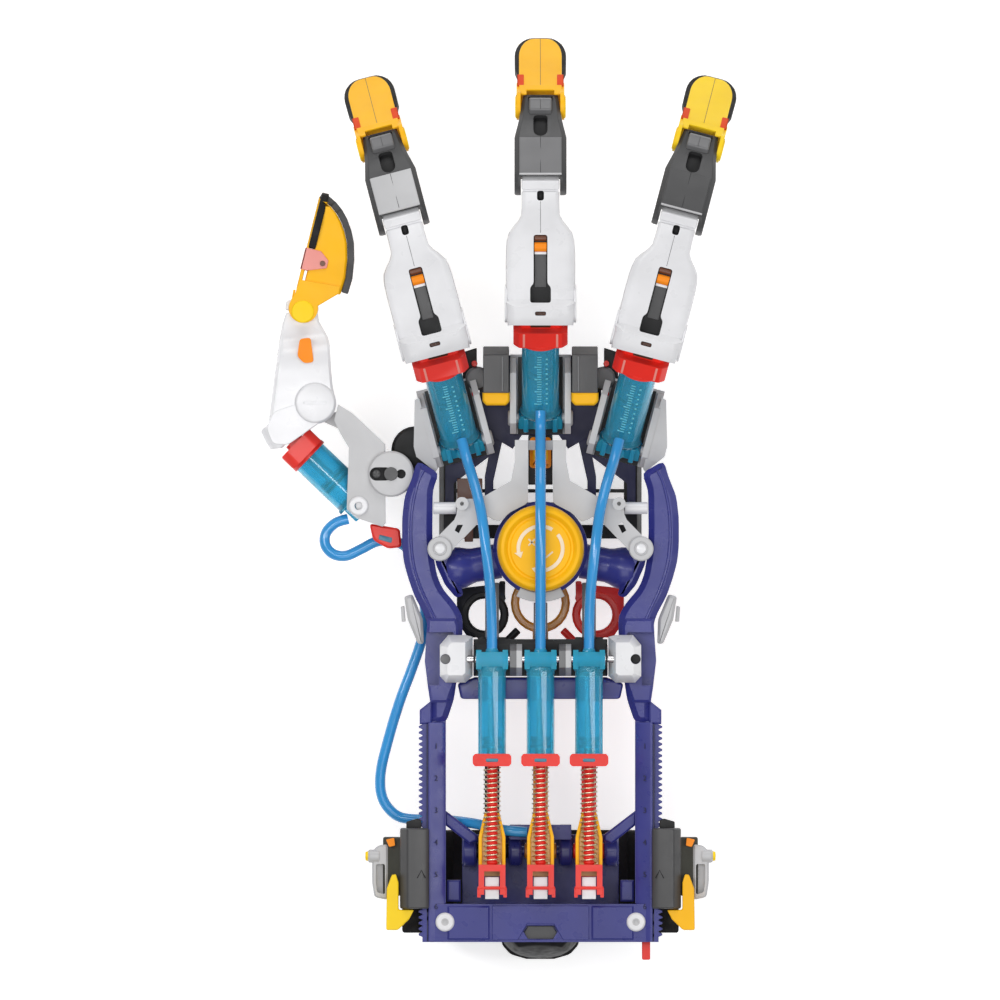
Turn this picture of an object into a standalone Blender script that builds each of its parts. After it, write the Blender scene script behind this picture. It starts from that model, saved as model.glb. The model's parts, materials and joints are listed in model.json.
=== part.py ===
"""Wearable hydraulic hand with a forearm frame: a thumb and three fingers, each closed by a small cylinder.

Lengths below are in millimetres and are scaled to metres where a mesh is made. +X is to the wearer's
right, +Y points to the fingertips, +Z is up from the back of the hand. The part stands on z = 0.
"""

from math import atan2, cos, degrees, hypot, pi, radians, sin

import bmesh
import bpy
from mathutils import Matrix, Vector

MM = 0.001
GAP = 0.3  # running clearance between pieces that touch

# Finger
KNUCKLE_Z = 80  # height of the first finger joint
PROXIMAL = 41.4  # first joint to second joint
MIDDLE = 40  # second joint to third joint
THICKNESS = 15.1  # half the width of the widest segment
MIDDLE_DROP = 23  # degrees the middle segment points down at rest
TIP_DROP = 32  # degrees the tip points down from the middle segment
CRANK = (-11.5, 14.5)  # crank pin seen from the first joint, along the finger and up
TRUNNION = (-57.6, -14)  # pivot of the slave cylinder seen from the first joint
THUMB_TRUNNION = (-46.6, -13.9)
TONGUE = 8  # half the width of the bracket's tongue
WALL_IN, WALL_OUT = 10.5, 13.2  # side walls of a finger bracket, from the finger's centre

# Fingers' places: trunnion on plan and lean to the left in degrees
FINGERS = {
    "index": (-34.3, 23.6, 14.7),
    "middle": (0, 35.4, 0),
    "ring": (34.3, 23.6, -14.7),
}
THUMB_JOINT = (-97.7, 41.9, 66)
THUMB_LEAN = 7.15
THUMB_TIP_LEAN = -9.97
SWIVEL = (-64.8, 11.1)  # upright axis of the thumb bracket
SWIVEL_RADIUS = 9

# Frame
FRAME_LOW, FRAME_HIGH = 74, 88
RAIL_IN, RAIL_OUT, TOOTH_OUT = 41, 51.2, 52.8
TOOTH_PITCH = 2.5
RACK_START, FRAME_END, BEAM_END = -97.5, -175, -191.8

# Levers and master cylinders
LANES = {"index": -21, "middle": 0, "ring": 21}
MASTER_Z = 98
MASTER_PIVOT_Y = -69.1
LEVER_PIVOT = (-152.4, 68)
CLEVIS_PIN = (-168.2, 98)
RINGS = {"index": (-24.3, -50, 10.6), "middle": (0, -45, 12.9), "ring": (24.3, -50, 10.6)}
RING_Z = 50
LATCH_PIVOT = (64, -165)

DIAL = (0, -21.2)
DIAL_RADIUS = 18.85
HOSE_RADIUS = 2.3
HOSE_STEP = 5  # spacing of the points along a hose
SIDES = 24

PARTS = bpy.data.collections.new("hydraulic_arm_kit")
TOOLS = bpy.data.collections.new("cutters")


def clear_scene():
    for obj in list(bpy.data.objects):
        bpy.data.objects.remove(obj)
    bpy.context.scene.collection.children.link(PARTS)
    bpy.context.scene.collection.children.link(TOOLS)
    TOOLS.hide_render = True


def finished(bm):
    """Scales a shape to metres, turns its faces out and returns it as a mesh."""
    bmesh.ops.scale(bm, vec=(MM, MM, MM), verts=bm.verts)
    bmesh.ops.recalc_face_normals(bm, faces=bm.faces)
    mesh = bpy.data.meshes.new("shape")
    bm.to_mesh(mesh)
    bm.free()
    return mesh


def in_space(a, b, depth, across):
    """A point of a flat outline in space. The outline's two axes are those left over, in X, Y, Z order."""
    return {"x": (depth, a, b), "y": (a, depth, b), "z": (a, b, depth)}[across]


def prism(outline, low, high, across="z"):
    """A flat outline pulled out along one axis."""
    bm = bmesh.new()
    face = bm.faces.new([bm.verts.new(in_space(a, b, low, across)) for a, b in outline])
    pulled = bmesh.ops.extrude_face_region(bm, geom=[face])["geom"]
    moved = [part for part in pulled if isinstance(part, bmesh.types.BMVert)]
    bmesh.ops.translate(bm, vec=in_space(0, 0, high - low, across), verts=moved)
    return finished(bm)


def block(x, y, z):
    return prism([(x[0], y[0]), (x[1], y[0]), (x[1], y[1]), (x[0], y[1])], z[0], z[1])


def rod(start, end, radius, end_radius=None, sides=SIDES):
    """A round bar, or a cone when end_radius is given."""
    start, end = Vector(start), Vector(end)
    bm = bmesh.new()
    turn = (end - start).to_track_quat("Z", "Y").to_matrix().to_4x4()
    bmesh.ops.create_cone(
        bm,
        cap_ends=True,
        segments=sides,
        radius1=radius,
        radius2=radius if end_radius is None else end_radius,
        depth=(end - start).length,
        matrix=Matrix.Translation((start + end) / 2) @ turn,
    )
    return finished(bm)


def hoop(centre, radius, thickness, height, sides=24):
    """A flat ring with bevelled edges lying level: its section spun about an upright axis."""
    inner, half = radius - thickness, height / 2
    section = [(inner, 1 - half), (inner + 1, -half), (radius - 1, -half), (radius, 1 - half)]
    section += [(radius, half - 1), (radius - 1, half), (inner + 1, half), (inner, half - 1)]
    bm = bmesh.new()
    corners = [bm.verts.new((centre[0] + r, centre[1], centre[2] + z)) for r, z in section]
    face = bm.faces.new(corners)
    bmesh.ops.spin(bm, geom=[face], cent=centre, axis=(0, 0, 1), angle=2 * pi, steps=sides, use_duplicate=False)
    bmesh.ops.delete(bm, geom=[f for f in bm.faces if len(f.verts) > 4], context="FACES_ONLY")
    bmesh.ops.remove_doubles(bm, verts=bm.verts, dist=0.001)
    return finished(bm)


def mirrored(outline):
    return [(-x, y) for x, y in reversed(outline)]


def both_sides(half):
    """A closed outline from its right half, listed from the rear to the front."""
    return half + mirrored(half)


def disc_outline(centre, radius, start=0, stop=360, steps=SIDES):
    full = abs(stop - start) == 360
    count = steps if full else steps + 1
    turns = [radians(start + (stop - start) * i / steps) for i in range(count)]
    return [(centre[0] + radius * cos(t), centre[1] + radius * sin(t)) for t in turns]


def tool(mesh, place):
    obj = bpy.data.objects.new("tool", mesh)
    TOOLS.objects.link(obj)
    obj.matrix_world = place
    obj.hide_render = True
    obj.display_type = "WIRE"
    return obj


MATERIALS = {}


def material(name, colour, roughness, metallic=0.0):
    mat = bpy.data.materials.new(name)
    mat.use_nodes = True
    shader = mat.node_tree.nodes["Principled BSDF"]
    shader.inputs["Base Color"].default_value = (*colour, 1)
    shader.inputs["Roughness"].default_value = roughness
    shader.inputs["Metallic"].default_value = metallic
    MATERIALS[name] = mat


def make_materials():
    material("navy", (0.035, 0.04, 0.16), 0.4)
    material("light_grey", (0.6, 0.6, 0.6), 0.45)
    material("white", (0.83, 0.83, 0.83), 0.4)
    material("dark_grey", (0.07, 0.07, 0.075), 0.45)
    material("black", (0.01, 0.01, 0.011), 0.5)
    material("red", (0.75, 0.06, 0.03), 0.4)
    material("yellow", (0.95, 0.45, 0.02), 0.4)
    material("orange", (0.8, 0.25, 0.01), 0.4)
    material("blue_clear", (0.02, 0.35, 0.6), 0.15)
    material("hose_blue", (0.06, 0.4, 0.7), 0.3)
    material("steel", (0.55, 0.55, 0.56), 0.3, 1.0)


def node(name, look, adds, cuts=(), keep=(), place=None):
    """One piece: the shapes in adds joined, those in cuts taken away, and only what lies in keep kept."""
    place = place or Matrix()
    obj = bpy.data.objects.new(name, adds[0])
    PARTS.objects.link(obj)
    obj.matrix_world = place
    obj.data.materials.append(MATERIALS[look])
    for operation, meshes in (("INTERSECT", keep), ("UNION", adds[1:]), ("DIFFERENCE", cuts)):
        for mesh in meshes:
            step = obj.modifiers.new(operation.lower(), "BOOLEAN")
            step.operation = operation
            step.solver = "EXACT"
            step.object = tool(mesh, place)
    obj.data.shade_smooth()
    obj.data.set_sharp_from_angle(angle=radians(35))
    return obj


def pose(point, lean=0, drop=0):
    """A place at a point, leaning left on plan and then dropping at the front."""
    move = Matrix.Translation(Vector(point) * MM)
    return move @ Matrix.Rotation(radians(lean), 4, "Z") @ Matrix.Rotation(radians(-drop), 4, "X")


# ---------------------------------------------------------------- fingers


def finger_place(finger):
    """The place of a finger's first joint."""
    x, y, lean = FINGERS[finger]
    ahead = -TRUNNION[0]
    return pose((x - ahead * sin(radians(lean)), y + ahead * cos(radians(lean)), KNUCKLE_Z), lean)


def thumb_frame(point, lean):
    """A place lying on its side: the back of the thumb faces left."""
    move = Matrix.Translation(Vector(point) * MM)
    return move @ Matrix.Rotation(radians(lean), 4, "Z") @ Matrix.Rotation(radians(-90), 4, "Y")


def shifted(place, along, up, drop=0):
    return place @ Matrix.Translation((0, along * MM, up * MM)) @ Matrix.Rotation(radians(-drop), 4, "X")


def proximal(name, place):
    side = [(39.5, 6.8), (38, 9.3), (24.7, 13.2), (-4.7, 21), (-9.9, 25), (-17.6, 21.3), (-14.7, 13.5)]
    side += [(-9.3, 3.2), (-6.5, -5.5), (0, -8.6), (8, -8.2), (27.4, -9.4), (31, -7.6), (34.7, -6)]
    side += disc_outline((PROXIMAL, 0), 6.6, -90, 60, 8)
    top = both_sides([(14.2, -18), (THICKNESS, -14), (THICKNESS, 14), (14.2, 21.7), (8.2, 31), (8.2, 49)])
    body = prism(side, -THICKNESS - 1, THICKNESS + 1, "x")
    slot = both_sides([(4.5, -7.8), (4.5, -1), (3, 0.5), (3, 21.7)])
    tongue_room = disc_outline((0, 0), 7.3, 90, -60, 12) + [(9, -12), (-20, -12), (-20, 3.5), (-6, 7.3)]
    node(
        name,
        "white",
        [body],
        cuts=[
            prism(slot, 12, 30),
            block((-1.5, 1.5), (36.4, 40.6), (3, 12)),
            block((-2.4, 2.4), (-13.2, -10.4), (15, 30)),
            block((-3.6, 3.6), (-22, -5.5), (-3, 20)),
            prism(tongue_room, -TONGUE - GAP, TONGUE + GAP, "x"),
            rod((-20, 0, 0), (20, 0, 0), 2.8, sides=16),
        ],
        keep=[prism(top, -20, 40)],
        place=place,
    )


def middle(name, place):
    side = [(44, 2.5), (42, 4.2), (36, 5.5), (22, 8), (6, 8.5)]
    side += disc_outline((0, 0), 7, 90, 270, 8)
    side += [(6, -8.6), (20, -9), (36, -6.3), (42, -4.4), (44.4, -2)]
    top = both_sides([(11.3, -8), (11.3, 21.7), (7.7, 30.5), (7.7, 46)])
    node(
        name,
        "dark_grey",
        [prism(side, -12, 12, "x")],
        cuts=[
            block((-8.5, 8.5), (-9, 8.6), (-12, 12)),
            prism(both_sides([(2, 25), (3, 26), (3, 34.3), (2, 35.3)]), 4, 12),
        ],
        keep=[prism(top, -14, 14)],
        place=place,
    )


def tip(name, place):
    """A fingertip: flat nail side, deep rounded pad side, two hinge ears at the root."""
    side = [(10.8, 4.2), (24.9, 3.9), (51, 1.4), (52.2, -1.5), (49.4, -3.4), (46.6, -7.7), (40.5, -13)]
    side += [(32, -16.6), (24.6, -18.1), (16.3, -18.7), (9.4, -17.9), (0.8, -10.8)]
    side += disc_outline((0, 0), 6.4, -100, -300, 10)
    top = both_sides([(10.5, -8), (10.5, 8), (11.4, 12), (11.4, 40), (9.5, 48), (7, 53)])
    node(
        name,
        "yellow",
        [prism(side, -13, 13, "x")],
        cuts=[block((-8.5, 8.5), (-9, 8.2), (-14, 14))],
        keep=[prism(top, -22, 10)],
        place=place,
    )


def slave_angle(trunnion):
    return degrees(atan2(CRANK[1] - trunnion[1], CRANK[0] - trunnion[0]))


def slave_reach(trunnion):
    return hypot(CRANK[1] - trunnion[1], CRANK[0] - trunnion[0])


def slave_barrel(name, place, reach):
    """Clear barrel with a flanged foot that turns on cross pins and a wide cap where the rod comes out."""
    cap = reach - 15
    node(
        name,
        "blue_clear",
        [
            rod((0, 3, 0), (0, cap + 1, 0), 8.1, sides=28),
            block((-9.6, 9.6), (-3.2, 4.4), (-4.4, 4.4)),
            rod((-WALL_IN - 1.6, 0, 0), (WALL_IN + 1.6, 0, 0), 2.2, sides=16),
            prism(both_sides([(11.8, cap), (11.8, cap + 7), (9.4, cap + 9)]), -8.6, 8.6),
        ],
        cuts=[
            rod((0, 8, 0), (0, cap + 4, 0), 6.4, sides=28),
            rod((0, cap, 0), (0, cap + 12, 0), 2.9, sides=16),
        ],
        place=place,
    )


def slave_rod(name, place, reach):
    """Piston, rod and the eye that pushes the finger's crank."""
    node(
        name,
        "red",
        [
            rod((0, reach - 30, 0), (0, reach - 1, 0), 2.4, sides=16),
            rod((0, reach - 32, 0), (0, reach - 27, 0), 6.1, sides=28),
            rod((-3, reach, 0), (3, reach, 0), 3.4, sides=16),
        ],
        cuts=[rod((-5, reach, 0), (5, reach, 0), 1.7, sides=12)],
        place=place,
    )


def bracket_shapes():
    """Floor, two walls and the tongue with the hinge pin, seen from the first joint."""
    wall = [(-64.5, -24), (-64.5, -12), (-60, -7), (-38, -7), (-31.6, -14), (-31.6, -24)]
    neck = [(-31, -24), (-31, -19.5), (-16, -10), (-6.3, 1)]
    neck += disc_outline((0, 0), 6.3, 150, -110, 14) + [(-6, -8.5), (-15, -24)]
    adds = [block((-WALL_OUT, WALL_OUT), (-64.5, -30), (-24, -20))]
    adds.append(prism(neck, -TONGUE, TONGUE, "x"))
    for low, high in ((-WALL_OUT, -WALL_IN), (WALL_IN, WALL_OUT)):
        adds.append(prism(wall, low, high, "x"))
    adds.append(rod((-14, 0, 0), (14, 0, 0), 2.5, sides=16))
    return adds


def bracket(name, look, place, wing_side=0):
    """A finger's bracket. wing_side is -1 or 1 for the outer fingers, whose brackets have a gusset outside."""
    adds = bracket_shapes()
    if wing_side:
        wing = [(12.5, -65), (13.8, -66), (20.2, -57.5), (20.2, -53), (14.6, -33.5), (12.5, -33)]
        if wing_side < 0:
            wing = mirrored(wing)
        adds.append(prism(wing, -14, -7.5))
    pins = rod((-20, TRUNNION[0], TRUNNION[1]), (20, TRUNNION[0], TRUNNION[1]), 2.5, sides=16)
    node(name, look, adds, cuts=[pins], place=place)


def finger(name):
    root = finger_place(name)
    knuckle = shifted(root, PROXIMAL, 0, MIDDLE_DROP)
    proximal(f"{name}_proximal", root)
    middle(f"{name}_middle_segment", knuckle)
    tip(f"{name}_tip", shifted(knuckle, MIDDLE, 0, TIP_DROP))
    slave = shifted(root, *TRUNNION, -slave_angle(TRUNNION))
    slave_barrel(f"{name}_slave_barrel", slave, slave_reach(TRUNNION))
    slave_rod(f"{name}_slave_rod", slave, slave_reach(TRUNNION))
    bracket(f"{name}_bracket", "light_grey", root, {"index": -1, "middle": 0, "ring": 1}[name])


# ---------------------------------------------------------------- thumb


def thumb_bracket():
    """Two cheeks each side of the cylinder, joined by a wall, a tongue for the thumb and a swivel boss."""
    z = THUMB_JOINT[2]
    pin = (thumb_frame(THUMB_JOINT, THUMB_LEAN) @ (Vector((0, *THUMB_TRUNNION)) * MM)) / MM
    cheek = [(-87.8, 41.4), (-81.8, 37.6), (-67.6, 24.3), (-67.2, -10.2), (-68.5, -11.8), (-79.8, -8)]
    cheek += [(-84, -4.1), (-83.1, 22.3), (-86.8, 28.6), (-89.5, 34.3)]
    tongue = disc_outline(THUMB_JOINT, 6.3, -40, 200, 14)
    tongue += [(-96, 34.5), (-86, 30), (-82, 24), (-72, 24), (-83, 38)]
    spacer = [(-86.5, 40), (-81.8, 37.2), (-68, 24), (-71, 20), (-83, 26), (-88.5, 34.3)]
    node(
        "thumb_bracket",
        "light_grey",
        [
            prism(cheek, z + WALL_IN, z + WALL_OUT),
            prism(cheek, z - WALL_OUT, z - WALL_IN),
            prism(spacer, z - WALL_OUT + 1, z + WALL_OUT - 1),
            prism(tongue, z - TONGUE, z + TONGUE),
            block((-70, -67.4), (-9.5, 24), (z - WALL_OUT + 1, z + WALL_OUT - 1)),
            rod((*SWIVEL, z + 6), (*SWIVEL, z + WALL_OUT), SWIVEL_RADIUS),
            rod((*THUMB_JOINT[:2], z - 14), (*THUMB_JOINT[:2], z + 14), 2.5, sides=16),
        ],
        cuts=[
            rod((*SWIVEL, z - 20), (*SWIVEL, z + 6), SWIVEL_RADIUS + GAP),
            rod((*SWIVEL, z), (*SWIVEL, z + 30), 3.3, sides=16),
            rod((pin.x, pin.y, z - 20), (pin.x, pin.y, z + 20), 2.5, sides=16),
        ],
    )


def thumb_mount():
    """Dark plate on the side frame with the upright pin that the thumb bracket turns on."""
    z = THUMB_JOINT[2]
    low = 48.4
    link = [(-69.5, 16), (-59, 27), (-48, 27), (-47, 12), (-60, 3), (-66, 4)]
    node(
        "thumb_mount",
        "dark_grey",
        [
            prism(link, low, low + 4),
            rod((*SWIVEL, low), (*SWIVEL, z + 5.6), SWIVEL_RADIUS - 0.1),
            rod((-54.4, 21.5, low), (-54.4, 21.5, 55.6), 10.4),
            rod((*SWIVEL, z), (*SWIVEL, z + 16), 3, sides=16),
        ],
    )


def thumb():
    root = thumb_frame(THUMB_JOINT, THUMB_LEAN)
    end = root @ Vector((0, PROXIMAL * MM, 0))
    proximal("thumb_proximal", root)
    tip("thumb_tip", thumb_frame(end / MM, THUMB_TIP_LEAN))
    slave = shifted(root, *THUMB_TRUNNION, -slave_angle(THUMB_TRUNNION))
    slave_barrel("thumb_slave_barrel", slave, slave_reach(THUMB_TRUNNION))
    slave_rod("thumb_slave_rod", slave, slave_reach(THUMB_TRUNNION))
    thumb_bracket()
    thumb_mount()


# ---------------------------------------------------------------- frame


def rack_edge(start, end):
    """The toothed outer edge of a left rail, from front to rear."""
    points = []
    y = start
    while y - TOOTH_PITCH >= end:
        points += [(-RAIL_OUT, y), (-TOOTH_OUT, y - 0.7), (-TOOTH_OUT, y - 1.4), (-RAIL_OUT, y - 2.1)]
        y -= TOOTH_PITCH
    return points


def side_frames():
    """S-curved shells beside the hand that run back into the toothed rails."""
    outer = [(-44, 11.5), (-53.5, 16.9), (-55.5, 9.8), (-58.9, 1.5), (-60, -8), (-60, -20), (-59.3, -27)]
    outer += [(-57.4, -34), (-54.6, -42), (-50.5, -49.5), (-48.9, -54.4), (-49.3, -61.3), (-50, -70)]
    outer += [(-48.9, -80), (-47.5, -86.7), (-52.4, -91), (-52.4, -97.2)]
    inner = [(-RAIL_IN, FRAME_END), (-RAIL_IN, -96), (-37.5, -86.7), (-36, -76), (-33.8, -58), (-33.8, -50.5)]
    inner += [(-37, -45), (-42.4, -38.8), (-44.9, -33), (-46.4, -24), (-46.9, -15), (-46.7, 4)]
    left = outer + rack_edge(RACK_START, FRAME_END) + inner
    for name, outline in (("left_side_frame", left), ("right_side_frame", mirrored(left))):
        sign = -1 if name.startswith("left") else 1
        node(
            name,
            "navy",
            [prism(outline, FRAME_LOW, FRAME_HIGH)],
            cuts=[prism([(sign * 38, -57.5), (sign * 60, -57.5), (sign * 60, -80.5), (sign * 43.9, -80.5),
                         (sign * 43.9, -72), (sign * 28, -72)], 81.5, 90)],
        )


def base_beam():
    """Rear beam with a lowered deck, the lever bearings, their axle and the bridge for the thumb's port."""
    rack = rack_edge(FRAME_END - 2.5, BEAM_END)
    outline = [(-RAIL_OUT, FRAME_END - GAP)] + rack + [(-RAIL_OUT, BEAM_END)]
    outline += mirrored(outline)
    y, z = LEVER_PIVOT
    adds = [prism(outline, FRAME_LOW, FRAME_HIGH)]
    adds.append(block((-34, 34), (FRAME_END - 3, -145.5), (52, 56)))
    adds.append(block((-34, 34), (FRAME_END - 4.5, FRAME_END - 1), (52, 80)))
    knuckle = disc_outline((y, z), 5.9, 0, 180, 10) + [(y - 5.9, 55), (y + 5.9, 55)]
    for low, high in ((-34, -27.8), (-13.6, -8.2), (8.2, 13.6), (27.8, 34)):
        adds.append(prism(knuckle, low, high, "x"))
    adds.append(rod((-33, y, z), (33, y, z), 2, sides=16))
    for sign in (-1, 1):
        adds.append(block(sorted((sign * 8.4, sign * 13.4)), (-147.5, -141), (66, 79)))
    adds.append(block((-13.4, 13.4), (-147.5, -141), (76, 80)))
    adds.append(block((-5.5, -0.5), (-147, -141.5), (79, 87)))
    notch = both_sides([(5.5, -190.4), (9, -184.6)])
    node("base_beam", "navy", adds, cuts=[prism(notch, 84, 90)])


def crossbars():
    """The black bar that carries the cylinders' axle, the navy bar behind it and the white corner blocks."""
    lugs = [(-76, 84), (-76, 91), (-72.5, 101.5), (-65.7, 101.5), (-63, 91), (-63, 84)]
    adds = [block((-29, 29), (-76.5, -60.5), (82, 90))]
    for low, high in ((-29.1, -28.3), (-13.1, -8.2), (8.2, 13.1), (28.3, 29.1)):
        adds.append(prism(lugs, low, high, "x"))
    axle_hole = rod((-35, MASTER_PIVOT_Y, MASTER_Z), (35, MASTER_PIVOT_Y, MASTER_Z), 1.8, sides=16)
    node("wrist_crossbar", "black", adds, cuts=[axle_hole])
    node(
        "cylinder_axle",
        "steel",
        [rod((-32, MASTER_PIVOT_Y, MASTER_Z), (32, MASTER_PIVOT_Y, MASTER_Z), 1.5, sides=16)],
    )
    bar = both_sides([(34.5, -86.5), (36, -79.8), (28.6, -77)])
    node("frame_crossbar", "navy", [prism(bar, 76, 86)])
    block_outline = [(29.4, -59.5), (29.4, -76.4), (32.5, -79.3), (41, -79.3), (43.6, -76.5)]
    block_outline += [(43.6, -63), (40, -58.7), (32.5, -58.7)]
    for name, outline, sign in (
        ("left_corner_block", mirrored(block_outline), -1),
        ("right_corner_block", block_outline, 1),
    ):
        pocket = rod((sign * 39.5, -69.1, 88), (sign * 39.5, -69.1, 110), 2.6, sides=16)
        hole = rod((sign * 20, MASTER_PIVOT_Y, MASTER_Z), (sign * 34, MASTER_PIVOT_Y, MASTER_Z), 1.8, sides=16)
        node(name, "white", [prism(outline, FRAME_HIGH + GAP, 101)], cuts=[pocket, hole])


def knuckle_plate():
    """Plate under the finger brackets, with a slanted strut and an outer strut on each side."""
    low, high = 51.4, 55.6
    strut_low, strut_high = low - 0.5, high - 0.1
    outline = both_sides([(8, 28), (12, 22), (20.5, 27), (26.5, 28), (26.5, 50), (20, 66), (8, 60)])
    strut = [(15.5, 30), (20.5, 30), (24.2, 10), (24.2, -4), (20.4, -4), (20.4, 8)]
    outer = [(37.6, 17.5), (37.6, -4), (41.3, -4), (41.3, 17.5)]
    link = [(24, 28), (20.4, 20), (37.6, 7), (41.3, 12)]
    adds = [prism(outline, low, high)]
    for shape in (strut, outer, link):
        adds.append(prism(shape, strut_low, strut_high))
        adds.append(prism(mirrored(shape), strut_low, strut_high))
    adds.append(block((-41, 41), (-4, -1.2), (51, 55.3)))
    node("knuckle_plate", "black", adds)
    side = [(41, 56), (41, 70), (43.5, 74), (46.5, 76), (63, 76), (66.5, 71), (66.5, 56)]
    inner, outer = 13.6, 24.9
    node("left_knuckle_box", "dark_grey", [prism(side, -outer, -inner, "x")])
    node("right_knuckle_box", "dark_grey", [prism(side, inner, outer, "x")])


def palm_cradle():
    """Strap-like cradle round the palm. Its flat underside is the front foot."""
    outer = both_sides([(30, 0), (40, 4), (44, 12), (44, 46), (42, 50), (30, 50)])
    inner = both_sides([(29, 4), (37, 7.5), (40, 13), (40, 43), (38, 46), (26, 46), (26, 60)])
    node("palm_cradle", "black", [prism(outer, -17, 17, "y")], cuts=[prism(inner, -20, 20, "y")])


def hub():
    """Navy hub under the dial with a short tube to each side frame."""
    adds = [rod((*DIAL, 64), (*DIAL, 88), 20.5, sides=32)]
    adds.append(rod((*DIAL, 87), (*DIAL, 92), 16, sides=32))
    for sign in (-1, 1):
        adds.append(rod((sign * 12, -25.5, 79), (sign * 38, -30.2, 79), 6.4, sides=20))
        collar = [(34.2, -24), (34.2, -38), (38, -39.5), (41, -36), (43.2, -32.5), (44.2, -26.5), (43.6, -24)]
        adds.append(prism(collar if sign > 0 else mirrored(collar), 72.5, 85.5))
    adds.append(prism(both_sides([(9.5, -44), (12.5, -39), (12.5, -36)]), 70, 84))
    node("wrist_hub", "navy", adds, cuts=[rod((*DIAL, 80), (*DIAL, 95), 4.3, sides=20)])


def hub_bracket():
    """Grey wishbone over the hub: two legs from the knuckles that spread into arms to the side frames."""
    leg = [(5.4, 25.8), (11.1, 25.8), (11.1, 17.1), (12.8, 8.2), (23.8, 1.8), (28.8, 0.4), (35.8, 0.2)]
    leg += [(36.4, -6.5), (37.4, -8.8), (43.9, -15.4), (46.2, -20), (44.6, -24), (40, -24.6), (37.3, -21)]
    leg += [(26.8, -10), (22.6, -7.6), (20.6, -8.8), (17.8, -9.6), (12.9, -5.4), (6.7, -2.2), (5.4, -1)]
    low, high = FRAME_HIGH + GAP, 91.8
    adds = [prism(leg, low, high), prism(mirrored(leg), low, high)]
    adds.append(block((-11, 11), (21.5, 25.6), (79, 83)))
    for sign in (-1, 1):
        adds.append(block(sorted((sign * 5.4, sign * 11)), (21.5, 25.6), (82, 90)))
    cuts = []
    for sign in (-1, 1):
        adds.append(rod((sign * 34, -1.8, low), (sign * 34, -1.8, 94), 2.9, sides=20))
        cuts.append(rod((sign * 34, -1.8, 90), (sign * 34, -1.8, 96), 0.9, sides=10))
        cuts.append(rod((sign * 43.7, -21.3, 80), (sign * 43.7, -21.3, 96), 1.6, sides=12))
        slot = [(33.6, -11), (35.4, -9.8), (37.2, -13.4), (35.4, -14.6)]
        cuts.append(prism(slot if sign > 0 else mirrored(slot), 86, 96))
    node("hub_bracket", "light_grey", adds, cuts=cuts)


def dial():
    """Round dial with a raised rim, a raised centre and a stem in the hub."""
    node(
        "dial_knob",
        "yellow",
        [
            rod((*DIAL, 92.3), (*DIAL, 101), DIAL_RADIUS, 17.6, sides=40),
            rod((*DIAL, 83), (*DIAL, 94), 4, sides=20),
            rod((*DIAL, 98), (*DIAL, 102), 8.6, 8, sides=32),
        ],
        cuts=[hoop((*DIAL, 101.5), 15.4, 6, 3.4, 28)],
    )


# ---------------------------------------------------------------- masters and levers


def master(name):
    x = LANES[name]
    place = pose((x, MASTER_PIVOT_Y, MASTER_Z))
    node(
        f"{name}_master_barrel",
        "blue_clear",
        [
            rod((0, -1, 0), (0, -42, 0), 6.05, sides=28),
            block((-7, 7), (-3.5, 3.2), (-5, 5)),
            prism(both_sides([(7.4, -46.4), (8.4, -45), (8.4, -42.3), (7.4, -41)]), -7.6, 7.6),
        ],
        cuts=[
            rod((-9, 0, 0), (9, 0, 0), 1.8, sides=16),
            rod((0, -7, 0), (0, -44, 0), 4.8, sides=24),
            rod((0, -40, 0), (0, -50, 0), 2.8, sides=16),
        ],
        place=place,
    )
    pin_y = CLEVIS_PIN[0] - MASTER_PIVOT_Y
    seat = both_sides([(5.8, -99.5), (5.8, -90.5), (5.6, -72), (3.4, -67.5)])
    clevis = both_sides([(5.8, -102), (5.8, -89)])
    node(
        f"{name}_piston_rod",
        "red",
        [
            rod((0, -34, 0), (0, -93, 0), 2.4, sides=16),
            rod((0, -33, 0), (0, -38.5, 0), 4.5, sides=24),
            prism(seat, -6.2, -4.6),
            prism(clevis, -5.2, 5.2),
        ],
        cuts=[
            block((-3.3, 3.3), (-110, pin_y + 7.5), (-9, 9)),
            rod((-9, pin_y, 0), (9, pin_y, 0), 1.8, sides=12),
        ],
        place=place,
    )


def spring(name):
    """Return spring round the piston rod, between the cylinder's collar and the clevis."""
    turns, radius, wire = 7, 3.7, 0.5
    front, rear = -46.8, -88.6
    steps = 9
    curve = bpy.data.curves.new(f"{name}_spring", "CURVE")
    curve.dimensions = "3D"
    curve.bevel_depth = wire * MM
    curve.bevel_resolution = 2
    curve.resolution_u = 1
    curve.use_fill_caps = True
    line = curve.splines.new("POLY")
    count = turns * steps + 1
    line.points.add(count - 1)
    for i in range(count):
        turn = 2 * pi * i / steps
        y = front - wire + (rear - front + 2 * wire) * i / (count - 1)
        line.points[i].co = (radius * cos(turn) * MM, y * MM, radius * sin(turn) * MM, 1)
    obj = bpy.data.objects.new(f"{name}_spring", curve)
    PARTS.objects.link(obj)
    obj.location = Vector((LANES[name], MASTER_PIVOT_Y, MASTER_Z)) * MM
    curve.materials.append(MATERIALS["steel"])


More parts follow.
